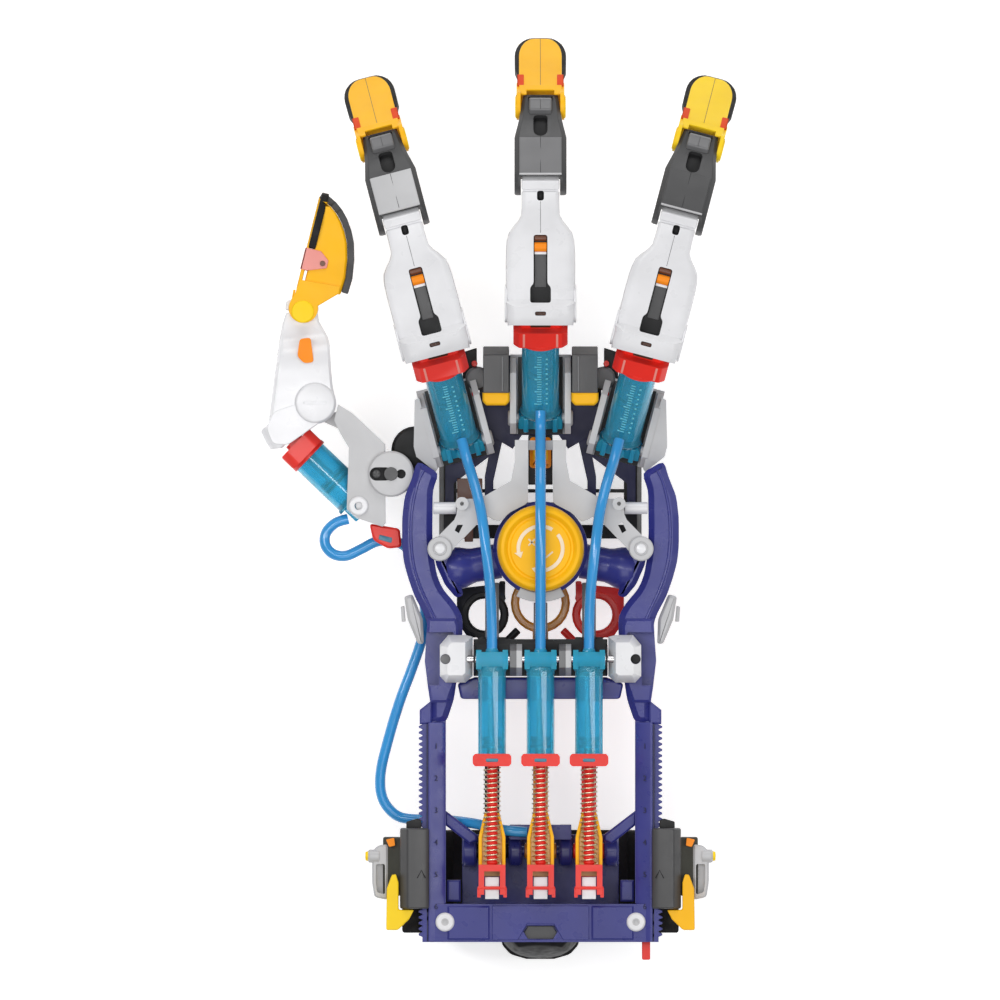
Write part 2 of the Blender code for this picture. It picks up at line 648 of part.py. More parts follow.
def lever(name, look):
    """Finger lever: hub on the axle, crank up to the clevis, long arm forward to the finger ring."""
    lane = LANES[name]
    ring_x, ring_y, ring_r = RINGS[name]
    y, z = LEVER_PIVOT
    pin = (CLEVIS_PIN[0] - y, CLEVIS_PIN[1] - z)
    crank = [(pin[0] - 3.4, pin[1] - 1), (pin[0] - 1.6, pin[1] + 3), (pin[0] + 1.6, pin[1] + 3)]
    crank += [(pin[0] + 3.4, pin[1] - 1), (-6, 8), (5, 3), (-2, -4), (-6, 2), (-11, 8)]
    root_y = ring_y - ring_r - y
    dx = ring_x - lane
    arm_end, arm_top = (root_y - 10, -14) if dx else (root_y + 2, -16)
    arm = [(0, -5), (0, 5), (8, 4.6), (60, -6), (arm_end, arm_top), (arm_end, arm_top - 4), (56, -13)]
    foot = [(-3.4, root_y - 14), (3.4, root_y - 14), (dx + 3.4, root_y + 2.5), (dx - 3.4, root_y + 2.5)]
    node(
        f"{name}_lever",
        look,
        [
            rod((-6, 0, 0), (6, 0, 0), 5.6, sides=24),
            prism(crank, -3, 3, "x"),
            prism(arm, -3.2, 3.2, "x"),
            prism(foot, RING_Z - z - 2.2, RING_Z - z + 2.2),
            hoop((dx, ring_y - y, RING_Z - z), ring_r, 3.7, 4.6),
        ],
        cuts=[rod((-9, 0, 0), (9, 0, 0), 2.3, sides=16), rod((-9, *pin), (9, *pin), 1.5, sides=12)],
        place=pose((lane, y, z)),
    )


# ---------------------------------------------------------------- forearm cuff


def cuff():
    """U-shaped cuff under the forearm, open at the top, with ears that reach up to the sliders."""
    outer = both_sides([(28, 0), (40, 4), (46.5, 14), (46.5, 52)])
    inner = both_sides([(27, 3), (38, 6.5), (43.5, 15), (43.5, 60)])
    ear = [(43.5, 46), (43.5, 65), (50, 65), (50, 71), (60, 71), (60, 65.5), (52, 59), (46.5, 48)]
    flap = [(-16.8, -188), (16.8, -188), (16.8, -194), (13, -198.3), (6, -200.3)]
    flap += [(-6, -200.3), (-13, -198.3), (-16.8, -194)]
    adds = [prism(outer, -190, -144, "y"), prism(flap, 0, 3)]
    for sign in (-1, 1):
        adds.append(prism(ear if sign > 0 else mirrored(ear), -188, -163, "y"))
    node("arm_cuff", "black", adds, cuts=[prism(inner, -192, -140, "y")])


def slider(name, sign):
    """Block that wraps the toothed rail, with the stepped housing and the buckle outside it."""
    wrap = [(60.9, 72), (60.9, 90), (58, 93.5), (51, 93.5), (48.3, 91.5), (48.3, FRAME_HIGH + GAP)]
    wrap += [(53.2, FRAME_HIGH + GAP), (53.2, FRAME_LOW - GAP), (47, FRAME_LOW - GAP), (47, 72)]
    adds = [prism(wrap, -177.3, -142.4, "y")]
    adds.append(prism([(60.5, 73), (68.3, 75), (68.3, 82), (60.5, 85.4)], -171.8, -146.3, "y"))
    adds.append(prism([(67.8, -172.5), (67.8, -150), (73, -152), (73, -170)], 74.5, 79.5))
    if sign < 0:
        for mesh in adds:
            flip = Matrix.Scale(-1, 4, (1, 0, 0))
            mesh.transform(flip)
            mesh.flip_normals()
    node(name, "dark_grey", adds)


def latch(name, sign):
    wing = [(62.6, -162.4), (61.5, -166), (61.5, -177.8), (54.8, -177.8), (57, -182), (61.8, -186.6)]
    wing += [(66.9, -186.6), (66.6, -168.6), (64.4, -162.6)]
    wing = mirrored(wing) if sign < 0 else wing
    x, y = sign * LATCH_PIVOT[0], LATCH_PIVOT[1]
    outline = [(a - x, b - y) for a, b in wing]
    node(name, "yellow", [prism(outline, 0, 4.5)], place=pose((x, y, 85.8)))


# ---------------------------------------------------------------- hoses


def smooth_route(points, spacing):
    """Evenly spaced points on a smooth curve through the hand-set points."""
    points = [Vector(p) for p in points]
    dense = []
    for i in range(len(points) - 1):
        before, after = points[max(i - 1, 0)], points[min(i + 2, len(points) - 1)]
        here, there = points[i], points[i + 1]
        for k in range(20):
            t = k / 20
            dense.append(
                0.5 * (2 * here + (there - before) * t + (2 * before - 5 * here + 4 * there - after) * t * t
                       + (3 * here - before - 3 * there + after) * t ** 3)
            )
    dense.append(points[-1])
    lengths = [0]
    for a, b in zip(dense, dense[1:]):
        lengths.append(lengths[-1] + (b - a).length)
    count = max(2, round(lengths[-1] / spacing))
    route, k = [], 0
    for i in range(count + 1):
        want = lengths[-1] * i / count
        while k < len(dense) - 2 and lengths[k + 1] < want:
            k += 1
        share = (want - lengths[k]) / (lengths[k + 1] - lengths[k])
        route.append(dense[k].lerp(dense[k + 1], share))
    return route


HOSES = {
    "index_hose": [(-34.2, 26, 81.2), (-31.8, 17, 84.5), (-28.4, 6, 93), (-25.6, -6, 99), (-23.8, -20, 101.5),
                   (-22, -36, 101), (-21.2, -50, 99.2), (-21, -65.6, 98)],
    "middle_hose": [(0, 38.5, 81.2), (0, 31, 82.6), (0, 21, 91), (0, 10, 99.8), (0, -2, 104.4), (0, -20, 105.6),
                    (0, -38, 104), (0, -52, 99.8), (0, -65.6, 98)],
    "thumb_hose": [(-83.4, -8.4, 66), (-89, -10.2, 66), (-93, -14.4, 66), (-93.4, -19.6, 66.2),
                   (-90, -23.6, 66.4), (-84.4, -24.4, 66.7), (-78, -21.6, 67), (-71, -18.2, 67.2),
                   (-63.6, -18, 67.4), (-57.4, -21.6, 67.5), (-53.6, -29, 67.5), (-51.4, -39, 67.5),
                   (-50, -50, 67.5), (-51.6, -61, 67.4), (-56, -74, 67.2), (-61.2, -88, 67),
                   (-66, -104, 66.4), (-69.4, -119, 65),
                   (-68.4, -130, 63.4), (-62, -137.4, 62.2), (-52, -139, 63.2), (-44, -139, 66),
                   (-37.4, -139.4, 71), (-28, -140.6, 79), (-16, -143.2, 84), (-5.9, -144.2, 84)],
}
HOSES["ring_hose"] = [(-x, y, z) for x, y, z in HOSES["index_hose"]]


def hose(name, points):
    curve = bpy.data.curves.new(name, "CURVE")
    curve.dimensions = "3D"
    curve.bevel_depth = HOSE_RADIUS * MM
    curve.bevel_resolution = 2
    curve.resolution_u = 1
    curve.use_fill_caps = True
    line = curve.splines.new("POLY")
    route = smooth_route(points, HOSE_STEP)
    line.points.add(len(route) - 1)
    for spot, point in zip(line.points, route):
        spot.co = (*(point * MM), 1)
    obj = bpy.data.objects.new(name, curve)
    PARTS.objects.link(obj)
    curve.materials.append(MATERIALS["hose_blue"])


def main():
    clear_scene()
    make_materials()
    for name in FINGERS:
        finger(name)
    thumb()
    side_frames()
    base_beam()
    crossbars()
    knuckle_plate()
    palm_cradle()
    hub()
    hub_bracket()
    dial()
    for name, look in (("index", "black"), ("middle", "orange"), ("ring", "red")):
        master(name)
        spring(name)
        lever(name, look)
    cuff()
    for side, sign in (("left", -1), ("right", 1)):
        slider(f"{side}_slider", sign)
        latch(f"{side}_latch", sign)
    for name, points in HOSES.items():
        hose(name, points)


main()
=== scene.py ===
"""How the hydraulic arm kit looks: mouldings, rubber, clear cylinders, springs, hoses and their materials.

Lengths are in millimetres and are scaled to metres where a mesh is made, in the CAD model's own frame.
+X is to the wearer's right, +Y points to the fingertips and +Z is up from the back of the hand.
"""

import json
from functools import partial
from math import atan2, cos, degrees, hypot, pi, radians, sin

import bmesh
import bpy
from mathutils import Matrix, Vector

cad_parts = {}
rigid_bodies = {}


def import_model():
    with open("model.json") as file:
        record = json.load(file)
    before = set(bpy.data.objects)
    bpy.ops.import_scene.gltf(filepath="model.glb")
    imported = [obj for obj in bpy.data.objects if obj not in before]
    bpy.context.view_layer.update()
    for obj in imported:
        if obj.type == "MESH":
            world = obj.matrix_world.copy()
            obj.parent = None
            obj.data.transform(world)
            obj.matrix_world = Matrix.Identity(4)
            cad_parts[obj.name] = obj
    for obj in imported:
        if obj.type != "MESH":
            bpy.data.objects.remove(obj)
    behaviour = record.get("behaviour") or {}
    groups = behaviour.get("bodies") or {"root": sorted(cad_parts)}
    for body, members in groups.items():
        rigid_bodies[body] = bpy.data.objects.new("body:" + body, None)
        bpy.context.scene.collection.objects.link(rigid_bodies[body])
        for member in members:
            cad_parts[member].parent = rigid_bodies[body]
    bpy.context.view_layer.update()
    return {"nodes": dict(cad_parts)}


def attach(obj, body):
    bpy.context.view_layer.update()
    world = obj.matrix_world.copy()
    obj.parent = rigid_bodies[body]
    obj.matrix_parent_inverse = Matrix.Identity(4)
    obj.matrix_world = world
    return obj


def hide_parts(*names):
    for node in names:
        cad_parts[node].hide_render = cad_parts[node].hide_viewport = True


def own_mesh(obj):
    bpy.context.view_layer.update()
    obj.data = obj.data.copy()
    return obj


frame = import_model()

MM = 0.001
SCALE = Matrix.Scale(MM, 4)

# Places shared with the CAD model
KNUCKLE_Z = 80  # height of the first finger joint
PROXIMAL, MIDDLE = 41.4, 40  # lengths between finger joints
MIDDLE_DROP, TIP_DROP = 23, 32  # degrees each segment points down at rest
CRANK = (-11.5, 14.5)
TRUNNION = (-57.6, -14)
THUMB_TRUNNION = (-46.6, -13.9)
FINGERS = {"index": (-34.3, 23.6, 14.7), "middle": (0, 35.4, 0), "ring": (34.3, 23.6, -14.7)}
THUMB_JOINT = (-97.7, 41.9, 66)
THUMB_LEAN, THUMB_TIP_LEAN = 7.15, -9.97
SWIVEL = (-64.8, 11.1)
FRAME_LOW, FRAME_HIGH = 74, 88
RAIL_IN, RAIL_OUT, TOOTH_OUT, TOOTH_PITCH = 41, 51.2, 52.8, 2.5
RACK_START, FRAME_END, BEAM_END = -97.5, -175, -191.8
LANES = {"index": -21, "middle": 0, "ring": 21}
AXLE_Y, AXLE_Z = -69.1, 98
LEVER_PIVOT = (-152.4, 68)
CLEVIS_Y = -99.1  # clevis pin behind the cylinder's axle
DIAL = (0, -21.2)
BEAM_SCREW = (41.4, -183.1)  # in from each end of the rear beam
SOCKET_X = 41.2  # socket of a corner block
ARM_END = (43.6, -21.3, 91.9)  # where the wishbone's arm is screwed down
AXLE_HOLE, HEAD_HOLE, PIN_HOLE = 1.8, 1.7, 1.5  # radii of the holes round the axle and the clevis pins
NAIL_RISE, NAIL_DROP = 5.0, 4  # how a fingertip's nail plate sits on it
SIDES = (("left", -1), ("right", 1))

HOSE_DIAMETER = 4.6
HOSES = {
    "index_hose": [(-34.2, 26, 81.2), (-31.8, 17, 84.5), (-28.4, 6, 93), (-25.6, -6, 99),
                   (-23.8, -20, 101.5), (-22, -36, 101), (-21.2, -50, 99.2), (-21, -65.6, 98)],
    "middle_hose": [(0, 38.5, 81.2), (0, 31, 82.6), (0, 21, 91), (0, 10, 99.8), (0, -2, 104.4),
                    (0, -20, 105.6), (0, -38, 104), (0, -52, 99.8), (0, -65.6, 98)],
    "thumb_hose": [(-83.4, -8.4, 66), (-89, -10.2, 66), (-93, -14.4, 66), (-93.4, -19.6, 66.2),
                   (-90, -23.6, 66.4), (-84.4, -24.4, 66.7), (-78, -21.6, 67), (-71, -18.2, 67.2),
                   (-63.6, -18, 67.4), (-57.4, -21.6, 67.5), (-53.6, -29, 67.5), (-51.4, -39, 67.5),
                   (-50, -50, 67.5), (-51.6, -61, 67.4), (-56, -74, 67.2), (-61.2, -88, 67),
                   (-66, -104, 66.4), (-69.4, -119, 65), (-68.4, -130, 63.4), (-62, -137.4, 62.2),
                   (-52, -139, 63.2), (-44, -139, 66), (-37.4, -139.4, 71), (-28, -140.6, 79),
                   (-16, -143.2, 84), (-5.9, -144.2, 84)],
}
HOSES["ring_hose"] = [(-x, y, z) for x, y, z in HOSES["index_hose"]]

VIEW_CENTRE = (-17.55, -0.2)
VIEW_WIDTH = 433.4
LENS, SENSOR = 1200, 36


# ---------------------------------------------------------------- materials


def blank(name):
    mat = bpy.data.materials.new(name)
    mat.use_nodes = True
    return mat, mat.node_tree.nodes["Principled BSDF"]


def add_noise(mat, scale, detail=2.0, stretch=None):
    """A noise pattern in the object's own coordinates. stretch gives the scale along X, Y and Z."""
    nodes, links = mat.node_tree.nodes, mat.node_tree.links
    noise = nodes.new("ShaderNodeTexNoise")
    noise.inputs["Scale"].default_value = scale
    noise.inputs["Detail"].default_value = detail
    place = nodes.new("ShaderNodeTexCoord")
    if stretch:
        mapping = nodes.new("ShaderNodeMapping")
        mapping.inputs["Scale"].default_value = stretch
        links.new(place.outputs["Object"], mapping.inputs["Vector"])
        links.new(mapping.outputs["Vector"], noise.inputs["Vector"])
    else:
        links.new(place.outputs["Object"], noise.inputs["Vector"])
    return noise.outputs["Fac"]


def add_range(mat, value, low, high, start=0.3, stop=0.7):
    nodes, links = mat.node_tree.nodes, mat.node_tree.links
    mapped = nodes.new("ShaderNodeMapRange")
    mapped.inputs["From Min"].default_value = start
    mapped.inputs["From Max"].default_value = stop
    mapped.inputs["To Min"].default_value = low
    mapped.inputs["To Max"].default_value = high
    links.new(value, mapped.inputs["Value"])
    return mapped.outputs["Result"]


def add_mix(mat, share, first, second):
    """A colour between two others, each a colour or another node's output."""
    nodes, links = mat.node_tree.nodes, mat.node_tree.links
    mix = nodes.new("ShaderNodeMix")
    mix.data_type = "RGBA"
    links.new(share, mix.inputs["Factor"])
    for socket, colour in (("A", first), ("B", second)):
        target = next(s for s in mix.inputs if s.name == socket and s.type == "RGBA")
        if isinstance(colour, tuple):
            target.default_value = (*colour, 1)
        else:
            links.new(colour, target)
    return next(s for s in mix.outputs if s.type == "RGBA")


def add_bump(mat, shader, value, strength, depth):
    nodes, links = mat.node_tree.nodes, mat.node_tree.links
    bump = nodes.new("ShaderNodeBump")
    bump.inputs["Strength"].default_value = strength
    bump.inputs["Distance"].default_value = depth * MM
    links.new(value, bump.inputs["Height"])
    links.new(bump.outputs["Normal"], shader.inputs["Normal"])


def tinted(colour, factor):
    return tuple(min(1.0, channel * factor) for channel in colour)


def plastic(name, colour, roughness=0.35, coat=0.15, worn=0.05, grain=0.1, shine=0.5):
    """Moulded plastic: cloudy colour, lighter rubbed edges, satin patches and a fine moulded grain."""
    mat, shader = blank(name)
    links = mat.node_tree.links
    cloud = add_range(mat, add_noise(mat, 45, 3), 0, 1)
    body = add_mix(mat, cloud, tinted(colour, 0.92), tinted(colour, 1.06))
    edges = mat.node_tree.nodes.new("ShaderNodeNewGeometry").outputs["Pointiness"]
    rubbed = add_range(mat, edges, 0, worn, 0.52, 0.62)
    pale = tuple(channel + (1 - channel) * 0.35 for channel in colour)
    links.new(add_mix(mat, rubbed, body, pale), shader.inputs["Base Color"])
    patches = add_range(mat, add_noise(mat, 160, 2), roughness - 0.05, roughness + 0.07)
    links.new(patches, shader.inputs["Roughness"])
    shader.inputs["Specular IOR Level"].default_value = shine
    shader.inputs["Coat Weight"].default_value = coat
    shader.inputs["Coat Roughness"].default_value = 0.18
    add_bump(mat, shader, add_noise(mat, 2600, 2), grain, 0.05)
    return mat


def rubber(name, colour):
    """Soft matt rubber with a pebbled skin and pale dust in patches."""
    mat, shader = blank(name)
    links = mat.node_tree.links
    dust = add_range(mat, add_noise(mat, 90, 4), 0, 0.5, 0.45, 0.75)
    links.new(add_mix(mat, dust, colour, tinted(colour, 1.7)), shader.inputs["Base Color"])
    links.new(add_range(mat, add_noise(mat, 300, 2), 0.5, 0.7), shader.inputs["Roughness"])
    shader.inputs["Specular IOR Level"].default_value = 0.25
    add_bump(mat, shader, add_noise(mat, 1700, 3), 0.3, 0.08)
    return mat


def clear(name, colour, strength, roughness=0.08):
    """Tinted see-through plastic with faint flow lines along its length. strength is how clear it is."""
    mat, shader = blank(name)
    links = mat.node_tree.links
    streaks = add_range(mat, add_noise(mat, 40, 2), 0, 1)
    tint = add_mix(mat, streaks, tinted(colour, 0.93), tinted(colour, 1.05))
    links.new(tint, shader.inputs["Base Color"])
    patches = add_range(mat, add_noise(mat, 220, 2), roughness * 0.6, roughness * 1.6)
    links.new(patches, shader.inputs["Roughness"])
    shader.inputs["Transmission Weight"].default_value = strength
    shader.inputs["IOR"].default_value = 1.3
    shader.inputs["Coat Weight"].default_value = 0.6
    shader.inputs["Coat Roughness"].default_value = 0.05
    add_bump(mat, shader, add_noise(mat, 900, 2), 0.05, 0.03)
    return mat


def metal(name, colour, roughness):
    """Drawn wire or turned bar: fine scratches round it, brighter and duller by turns."""
    mat, shader = blank(name)
    links = mat.node_tree.links
    scratches = add_noise(mat, 900, 3, (6, 1, 1))
    tint = add_mix(mat, scratches, tinted(colour, 0.8), tinted(colour, 1.2))
    links.new(tint, shader.inputs["Base Color"])
    links.new(add_range(mat, scratches, roughness * 0.7, roughness * 1.5), shader.inputs["Roughness"])
    shader.inputs["Metallic"].default_value = 1.0
    add_bump(mat, shader, scratches, 0.12, 0.03)
    return mat


def floor_paint():
    mat, shader = blank("studio_floor")
    links = mat.node_tree.links
    cloud = add_range(mat, add_noise(mat, 3, 2), 0, 1)
    links.new(add_mix(mat, cloud, (0.93, 0.93, 0.93), (0.97, 0.97, 0.97)), shader.inputs["Base Color"])
    shader.inputs["Roughness"].default_value = 0.9
    shader.inputs["Emission Color"].default_value = (1, 1, 1, 1)
    shader.inputs["Emission Strength"].default_value = 0.5
    return mat


LOOKS = {
    "navy": plastic("navy_plastic", (0.03, 0.034, 0.22), 0.3, coat=0.2, shine=0.35),
    "navy_dark": plastic("dark_navy_and_shade_plastic", (0.008, 0.009, 0.06), 0.45, coat=0.05, shine=0.3),
    "light_grey": plastic("light_grey_plastic", (0.5, 0.5, 0.51), 0.38),
    "white": plastic("white_plastic", (0.76, 0.76, 0.78), 0.3, coat=0.3, worn=0.03),
    "mid_grey": plastic("mid_grey_plastic", (0.14, 0.14, 0.145), 0.4),
    "dark_grey": plastic("dark_grey_plastic", (0.05, 0.05, 0.052), 0.4, worn=0.08, shine=0.4),
    "olive": plastic("olive_grey_plastic", (0.045, 0.045, 0.035), 0.5, coat=0.05, shine=0.3),
    "black": plastic("black_plastic", (0.006, 0.006, 0.007), 0.45, coat=0.05, worn=0.03, shine=0.25),
    "red": plastic("red_plastic", (0.8, 0.022, 0.012), 0.34, coat=0.1, shine=0.35),
    "orange_red": plastic("orange_red_plastic", (0.75, 0.06, 0.004), 0.45, coat=0.0, shine=0.1),
    "pink": plastic("pink_plastic", (0.8, 0.26, 0.22), 0.4),
    "amber": plastic("amber_plastic", (1.0, 0.5, 0.006), 0.4, coat=0.0, shine=0.2),
    "lemon": plastic("lemon_plastic", (1.0, 0.66, 0.012), 0.4, coat=0.0, shine=0.2),
    "pale_yellow": plastic("pale_yellow_plastic", (0.95, 0.66, 0.24), 0.35),
    "orange": plastic("orange_plastic", (0.95, 0.27, 0.005), 0.4, coat=0.0, shine=0.2),
    "ochre": plastic("ochre_plastic", (0.62, 0.24, 0.02), 0.25, coat=0.4),
    "brown": plastic("brown_plastic", (0.14, 0.04, 0.012), 0.45),
    "cream": plastic("cream_print", (0.9, 0.72, 0.5), 0.5, worn=0.05),
    "rubber": rubber("black_rubber", (0.007, 0.007, 0.008)),
    "grey_rubber": rubber("grey_rubber", (0.07, 0.07, 0.072)),
    "barrel": clear("blue_cylinder_plastic", (0.09, 0.66, 0.92), 0.7),
    "foot": clear("cyan_fitting_plastic", (0.05, 0.58, 0.85), 0.55),
    "tick": plastic("pale_cyan_print", (0.2, 0.7, 0.82), 0.4, worn=0.05),
    "teal": plastic("teal_piston_plastic", (0.02, 0.22, 0.34), 0.35),
    "hose": clear("blue_hose_pvc", (0.045, 0.36, 0.78), 0.2, roughness=0.16),
    "steel": metal("bright_steel", (0.72, 0.72, 0.73), 0.22),
    "spring": metal("warm_spring_wire", (0.95, 0.85, 0.6), 0.25),
}


# ---------------------------------------------------------------- shapes


def in_space(a, b, depth, across):
    """A point of a flat outline in space. The outline's two axes are those left over, in X, Y, Z order."""
    return {"x": (depth, a, b), "y": (a, depth, b), "z": (a, b, depth)}[across]


def slab(outline, low, high, across="z"):
    """A flat outline pulled out along one axis."""
    bm = bmesh.new()
    face = bm.faces.new([bm.verts.new(in_space(a, b, low, across)) for a, b in outline])
    pulled = bmesh.ops.extrude_face_region(bm, geom=[face])["geom"]
    moved = [part for part in pulled if isinstance(part, bmesh.types.BMVert)]
    bmesh.ops.translate(bm, vec=in_space(0, 0, high - low, across), verts=moved)
    return bm


def block(x, y, z):
    return slab([(x[0], y[0]), (x[1], y[0]), (x[1], y[1]), (x[0], y[1])], z[0], z[1])


def bar(start, end, radius, end_radius=None, sides=32):
    """A round bar, or a cone when end_radius is given."""
    start, end = Vector(start), Vector(end)
    bm = bmesh.new()
    turn = (end - start).to_track_quat("Z", "Y").to_matrix().to_4x4()
    bmesh.ops.create_cone(
        bm,
        cap_ends=True,
        segments=sides,
        radius1=radius,
        radius2=radius if end_radius is None else end_radius,
        depth=(end - start).length,
        matrix=Matrix.Translation((start + end) / 2) @ turn,
    )
    return bm


def turned(profile, centre=(0, 0, 0), along=(0, 0, 1), steps=48):
    """(radius, distance) points spun round an axis. A profile that closes makes a ring or tube."""
    bm = bmesh.new()
    verts = [bm.verts.new((radius, 0, distance)) for radius, distance in profile]
    edges = [bm.edges.new(pair) for pair in zip(verts, verts[1:])]
    bmesh.ops.spin(bm, geom=verts + edges, cent=(0, 0, 0), axis=(0, 0, 1), angle=2 * pi, steps=steps)
    bmesh.ops.remove_doubles(bm, verts=bm.verts, dist=0.001)
    turn = Vector(along).to_track_quat("Z", "Y").to_matrix().to_4x4()
    bmesh.ops.transform(bm, matrix=Matrix.Translation(centre) @ turn, verts=bm.verts)
    return bm


def loft(sections):
    """A skin through closed sections that have the same number of points, closed at both ends."""
    bm = bmesh.new()
    rings = [[bm.verts.new(point) for point in section] for section in sections]
    for here, there in zip(rings, rings[1:]):
        for i in range(len(here)):
            j = (i + 1) % len(here)
            bm.faces.new((here[i], here[j], there[j], there[i]))
    bm.faces.new(rings[0])
    bm.faces.new(rings[-1])
    return bm


def mirrored(outline):
    return [(-x, y) for x, y in reversed(outline)]


def both_sides(half):
    return half + mirrored(half)


def sided(outline, sign):
    return outline if sign > 0 else mirrored(outline)


def rounded_end(middle, start, across, ahead, steps=8):
    """A quarter of an ellipse, from its side round to its front."""
    turns = [pi / 2 * i / steps for i in range(steps + 1)]
    return [(middle + across * cos(t), start + ahead * sin(t)) for t in turns]


def arc(centre, radius, start, stop, steps=8):
    turns = [radians(start + (stop - start) * i / steps) for i in range(steps + 1)]
    return [(centre[0] + radius * cos(t), centre[1] + radius * sin(t)) for t in turns]


def softened(outline, radius, steps=4):
    """An outline whose corners are short curves that start a radius before them, where there is room."""
    points = []
    for i, (x, y) in enumerate(outline):
        corner = Vector((x, y))
        before, after = Vector(outline[i - 1]), Vector(outline[(i + 1) % len(outline)])
        start = corner + (before - corner).normalized() * min(radius, (before - corner).length * 0.45)
        end = corner + (after - corner).normalized() * min(radius, (after - corner).length * 0.45)
        for k in range(steps + 1):
            t = k / steps
            points.append(tuple(start * (1 - t) ** 2 + corner * 2 * t * (1 - t) + end * t * t))
    return points


def inset(outline, distance):
    """An outline, listed anticlockwise, moved inwards by a distance."""
    points = []
    for i, (x, y) in enumerate(outline):
        here = Vector((x, y))
        a = (here - Vector(outline[i - 1])).normalized()
        b = (Vector(outline[(i + 1) % len(outline)]) - here).normalized()
        inward = Vector((-a.y - b.y, a.x + b.x))
        inward.normalize()
        share = max(0.5, inward.dot(Vector((-a.y, a.x))))
        points.append(tuple(here + inward * distance / share))
    return points


def anticlockwise(outline):
    area = sum(a[0] * b[1] - b[0] * a[1] for a, b in zip(outline, outline[1:] + outline[:1]))
    return outline if area > 0 else outline[::-1]


def crowned(outline, low, high, edge, slope):
    """A slab whose top edge is chamfered: edge is how far the chamfer comes in, slope how far it drops."""
    outline = anticlockwise(outline)
    levels = [(outline, low), (outline, high - slope), (inset(outline, edge), high)]
    return loft([[(x, y, z) for x, y in points] for points, z in levels])


def section(y, half, low, high, width, drop, steps=5, bow=0.0):
    """A cross-section of a moulding. width and drop size its top corners: round, or flat for one step.

    bow is how far the middle lies behind the sides.
    """
    right = [(half - 1, low), (half, low + 1)]
    for i in range(steps + 1):
        turn = pi / 2 * i / steps
        right.append((half - width * (1 - cos(turn)), high - drop * (1 - sin(turn))))
    return [(x, y - bow * (1 - (x / half) ** 2), z) for x, z in both_sides(right)]


def offset_path(points, distance):
    """A run of (y, z) points moved sideways by a distance."""
    moved = []
    for i, point in enumerate(points):
        before, after = points[max(i - 1, 0)], points[min(i + 1, len(points) - 1)]
        along = (Vector(after) - Vector(before)).normalized()
        moved.append((point[0] - along.y * distance, point[1] + along.x * distance))
    return moved


def joined(shapes, place):
    """Shapes in millimetres as one mesh in metres at a place."""
    whole = bmesh.new()
    for shape in shapes:
        part = bpy.data.meshes.new("part")
        shape.to_mesh(part)
        shape.free()
        whole.from_mesh(part)
        bpy.data.meshes.remove(part)
    bmesh.ops.recalc_face_normals(whole, faces=whole.faces)
    bmesh.ops.transform(whole, matrix=(place or Matrix()) @ SCALE, verts=whole.verts)
    mesh = bpy.data.meshes.new("mesh")
    whole.to_mesh(mesh)
    whole.free()
    return mesh


def carved(shapes, cuts, place):
    """The shapes fused into one skin, with each cut taken out of it."""
    for shape in (*shapes, *cuts):
        bmesh.ops.triangulate(shape, faces=shape.faces)
    scene = bpy.context.scene.collection.objects
    body = bpy.data.objects.new("body", joined(shapes[:1], place))
    scene.link(body)
    tools = []
    for operation, group in (("UNION", shapes[1:]), ("DIFFERENCE", cuts)):
        for shape in group:
            tool = bpy.data.objects.new("tool", joined([shape], place))
            scene.link(tool)
            tools.append(tool)
            step = body.modifiers.new("carve", "BOOLEAN")
            step.operation = operation
            step.solver = "EXACT"
            step.object = tool
    graph = bpy.context.evaluated_depsgraph_get()
    made = bpy.data.meshes.new_from_object(body.evaluated_get(graph))
    for obj in [body, *tools]:
        bpy.data.objects.remove(obj)
    return made


def finish_edges(obj, bevel, segments):
    """Rounds the sharp edges and evens the shading."""
    if bevel:
        step = obj.modifiers.new("rounded_edges", "BEVEL")
        step.width = bevel * MM
        step.segments = segments
        step.limit_method = "ANGLE"
        step.angle_limit = radians(32)
        step.use_clamp_overlap = True
        step.harden_normals = False
    even = obj.modifiers.new("even_shading", "WEIGHTED_NORMAL")
    even.keep_sharp = False
    even.weight = 60


def piece(name, look, shapes, body="frame", place=None, bevel=0.35, segments=2, cuts=()):
    """One visible piece: shapes joined in millimetres at a place, in one material, riding on a body."""
    mesh = carved(shapes, cuts, place) if cuts else joined(shapes, place)
    mesh.shade_smooth()
    mesh.materials.clear()
    mesh.materials.append(LOOKS[look])
    obj = bpy.data.objects.new(name, mesh)
    bpy.context.scene.collection.objects.link(obj)
    finish_edges(obj, bevel, segments)
    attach(obj, body)
    return obj


def wire(name, look, body, points, radius, place=None):
    """A thin round line through points, such as a seam or a spring's wire, as a mesh."""
    curve = bpy.data.curves.new(name, "CURVE")
    curve.dimensions = "3D"
    curve.bevel_depth = radius * MM
    curve.bevel_resolution = 2
    curve.use_fill_caps = True
    line = curve.splines.new("POLY")
    line.points.add(len(points) - 1)
    for spot, point in zip(line.points, points):
        spot.co = (*((place or Matrix()) @ (Vector(point) * MM)), 1)
    helper = bpy.data.objects.new("helper", curve)
    bpy.context.scene.collection.objects.link(helper)
    graph = bpy.context.evaluated_depsgraph_get()
    mesh = bpy.data.meshes.new_from_object(helper.evaluated_get(graph))
    bpy.data.objects.remove(helper)
    mesh.shade_smooth()
    mesh.materials.clear()
    mesh.materials.append(LOOKS[look])
    obj = bpy.data.objects.new(name, mesh)
    bpy.context.scene.collection.objects.link(obj)
    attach(obj, body)
    return obj


def keep_node(name, look, bevel=0.4):
    """A CAD node whose shape is right: it gets a material, rounded edges and even shading."""
    obj = frame["nodes"][name]
    if not obj.material_slots:
        obj.data.materials.append(LOOKS[look])
    for slot in obj.material_slots:
        slot.material = LOOKS[look]
    weld = obj.modifiers.new("weld", "WELD")
    weld.merge_threshold = 0.002 * MM
    finish_edges(obj, bevel, 2)


